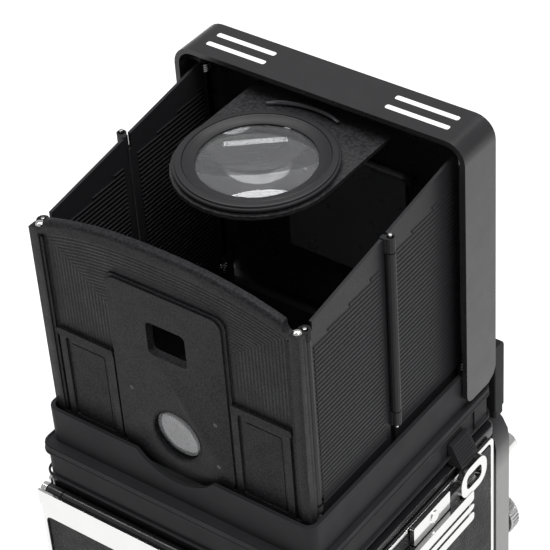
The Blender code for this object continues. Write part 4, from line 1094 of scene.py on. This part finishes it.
def make_flash_socket(m, low):
    """The flash lead's socket, a plated sleeve round a pin."""
    sleeve = [(1.5 * MM, low.y + 6 * MM), (2.55 * MM, low.y + 6 * MM), (2.55 * MM, low.y + 0.4 * MM)]
    sleeve += [(2.3 * MM, low.y), (1.75 * MM, low.y), (1.5 * MM, low.y + 0.3 * MM)]
    lathe("flash_socket", "Y", FLASH_SOCKET, sleeve, m["chrome"], "standard", 48, True)
    core = [(1.5 * MM, low.y + 0.3 * MM), (1.4 * MM, low.y + 0.2 * MM), (0.2 * MM, low.y + 0.2 * MM)]
    lathe("flash_socket_core", "Y", FLASH_SOCKET, core, m["satin_black"], "standard", 32)


def make_board_leather(m, low, high):
    """The lens board's leatherette, with holes for the mounts, the wheels and the other fittings."""
    half, foot, head = high.x - 2.6 * MM, low.z + 2.6 * MM, high.z - 2.6 * MM
    outline = [(-half, low.z + 7.6 * MM), (-half + 5 * MM, foot), (half - 5 * MM, foot)]
    outline += [(half, low.z + 7.6 * MM), (half, high.z - 9 * MM), (half - 6.4 * MM, head)]
    outline += [(-half + 6.4 * MM, head), (-half, high.z - 9 * MM)]
    mesh = bmesh.new()
    add_slab(mesh, outline, "Y", BOARD_FACE - SKIN, BOARD_FACE + 0.05 * MM)
    skin = link("board_leather", mesh, m["leatherette"], "standard")
    holes = bmesh.new()
    back, front = BOARD_FACE - 2 * MM, BOARD_FACE + 2 * MM
    for node, r in (("viewing_barrel", 18.6), ("shutter_housing", 23.4)):
        add_turned(holes, "Y", centre_of(node, "xz"), [(r * MM, back), (r * MM, front)], 64)
    for x, z, r in BOARD_HOLES:
        add_turned(holes, "Y", (x * MM, z * MM), [(r * MM, back), (r * MM, front)], 40)
    cut_away(skin, holes)


def make_lens_mounts(m):
    """Both lens mounts with their front glass, and the shutter's scale."""
    make_lens_mount(m, "viewing_barrel", viewing_outside, "chrome")
    make_front_glass(m, "viewing_lens", "viewing_barrel")
    make_lens_mount(m, "shutter_housing", shutter_outside, "satin_black")
    make_front_glass(m, "taking_lens", "shutter_housing")
    marks = bmesh.new()
    for i in range(41):
        a = math.radians(20 + 140 * i / 40)
        near = 17.6 if i % 5 == 0 else 18.4
        add_tick(marks, SHUTTER_CENTRE, a, near * MM, 19.6 * MM, SHUTTER_FACE, 0.11 * MM, "Y")
    link("shutter_marks", marks, m["white_paint"], "standard")


def viewing_outside(r):
    """The viewing mount's outside from back to front, as radius and y in millimetres."""
    barrel = [(r, -31.0), (r - 0.2, -31.3), (r - 0.2, -43.2), (r, -43.5), (r, -44.0)]
    return barrel + [(16.6, -48.2), (16.3, -48.5)]


def shutter_outside(r):
    """The shutter's outside in the same way: a wide case, then a narrower barrel."""
    barrel = [(16.9, -38.2), (16.9, -39.0), (16.5, -39.2), (16.5, -47.9), (16.1, -48.5)]
    return [(r, -37.3), (r - 0.7, -38.2)] + barrel


def make_lens_mount(m, node, outside, finish):
    """A turned mount that is open from end to end, with a retaining ring inside its mouth."""
    low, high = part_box(node)
    centre = centre_of(node, "xz")
    r = (high.x - low.x) / 2 / MM
    mouth = [(14.0, -48.5), (13.7, -48.2), (13.5, -46.0), (13.2, -45.8), (13.0, -44.6), (12.6, -44.5)]
    foot = BOARD_FACE - 0.3 * MM
    profile = [(14.6 * MM, high.y), (14.6 * MM, foot), (r * MM, foot)]
    profile += in_mm(outside(r) + mouth)
    profile.append((12.6 * MM, high.y))
    mount = lathe(node + "_turned", "Y", centre, profile, m[finish], "standard", 128, True)
    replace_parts(mount, node)
    band = in_mm([(13.1, -45.4), (13.1, -44.9), (12.3, -44.1), (12.3, -45.2)])
    lathe(node + "_retainer", "Y", centre, band, m["matt_black"], "standard", 96, True)


def make_front_glass(m, node, mount):
    """A lens's domed front glass, inside its mount."""
    low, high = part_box(node)
    r = (high.x - low.x) / 2
    rows = [(r, high.y)]
    for i in range(10):
        share = 1 - i / 9.5
        rows.append((r * share, GLASS_EDGE - GLASS_RISE * (1 - share ** 2)))
    centre = centre_of(mount, "xz")
    piece = lathe(node + "_polished", "Y", centre, rows, m["coated_glass"], "standard", 96)
    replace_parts(piece, node)


# ------------------------------------------------------------------ the stage
def make_camera():
    """The photo's camera, in the pose fitted to the photo's edges."""
    azimuth, elevation = math.radians(AZIMUTH), math.radians(ELEVATION)
    flat = math.cos(elevation)
    away = Vector((-math.sin(azimuth) * flat, math.cos(azimuth) * flat, math.sin(elevation)))
    data = bpy.data.cameras.new("camera")
    data.lens = LENS
    camera = add_object("camera", data)
    look = (-away).to_track_quat("-Z", "Y").to_matrix().to_4x4()
    roll = Matrix.Rotation(math.radians(ROLL), 4, "Z")
    camera.matrix_world = Matrix.Translation(TARGET + away * DISTANCE) @ look @ roll
    bpy.context.scene.camera = camera


def make_softbox():
    """The second light, long and narrow."""
    data = bpy.data.lights.new("softbox", "AREA")
    data.shape = "RECTANGLE"
    data.size, data.size_y = BOX_SIZE
    data.energy = BOX_POWER
    light = add_object("softbox", data)
    look = (-BOX_FROM).to_track_quat("-Z", "Y").to_matrix().to_4x4()
    light.matrix_world = Matrix.Translation(TARGET + BOX_FROM) @ look


def make_stage():
    """The white floor, the even surround and both lights."""
    mesh = bmesh.new()
    bmesh.ops.create_grid(mesh, x_segments=1, y_segments=1, size=6.0)
    data = bpy.data.meshes.new("floor")
    mesh.to_mesh(data)
    mesh.free()
    floor = add_object("floor", data)
    data.materials.append(paper_floor("paper"))
    world = bpy.data.worlds.new("studio")
    world.use_nodes = True
    sky = world.node_tree.nodes["Background"]
    sky.inputs["Color"].default_value = (1.0, 1.0, 1.0, 1.0)
    sky.inputs["Strength"].default_value = SKY
    bpy.context.scene.world = world
    data = bpy.data.lights.new("key", "SUN")
    data.energy = KEY
    data.angle = math.radians(KEY_SPREAD)
    key = add_object("key", data)
    key.matrix_world = (-Vector(KEY_FROM)).to_track_quat("-Z", "Y").to_matrix().to_4x4()
    make_softbox()
    bpy.context.scene.view_settings.view_transform = "Standard"


def main():
    m = make_materials()
    make_camera()
    make_stage()
    make_walls(m)
    make_lid(m)
    make_panel(m)
    make_magnifier(m)
    make_base(m)
    make_body(m)
    make_sides(m)
    make_door(m)
    make_knobs(m)
    make_front(m)


main()
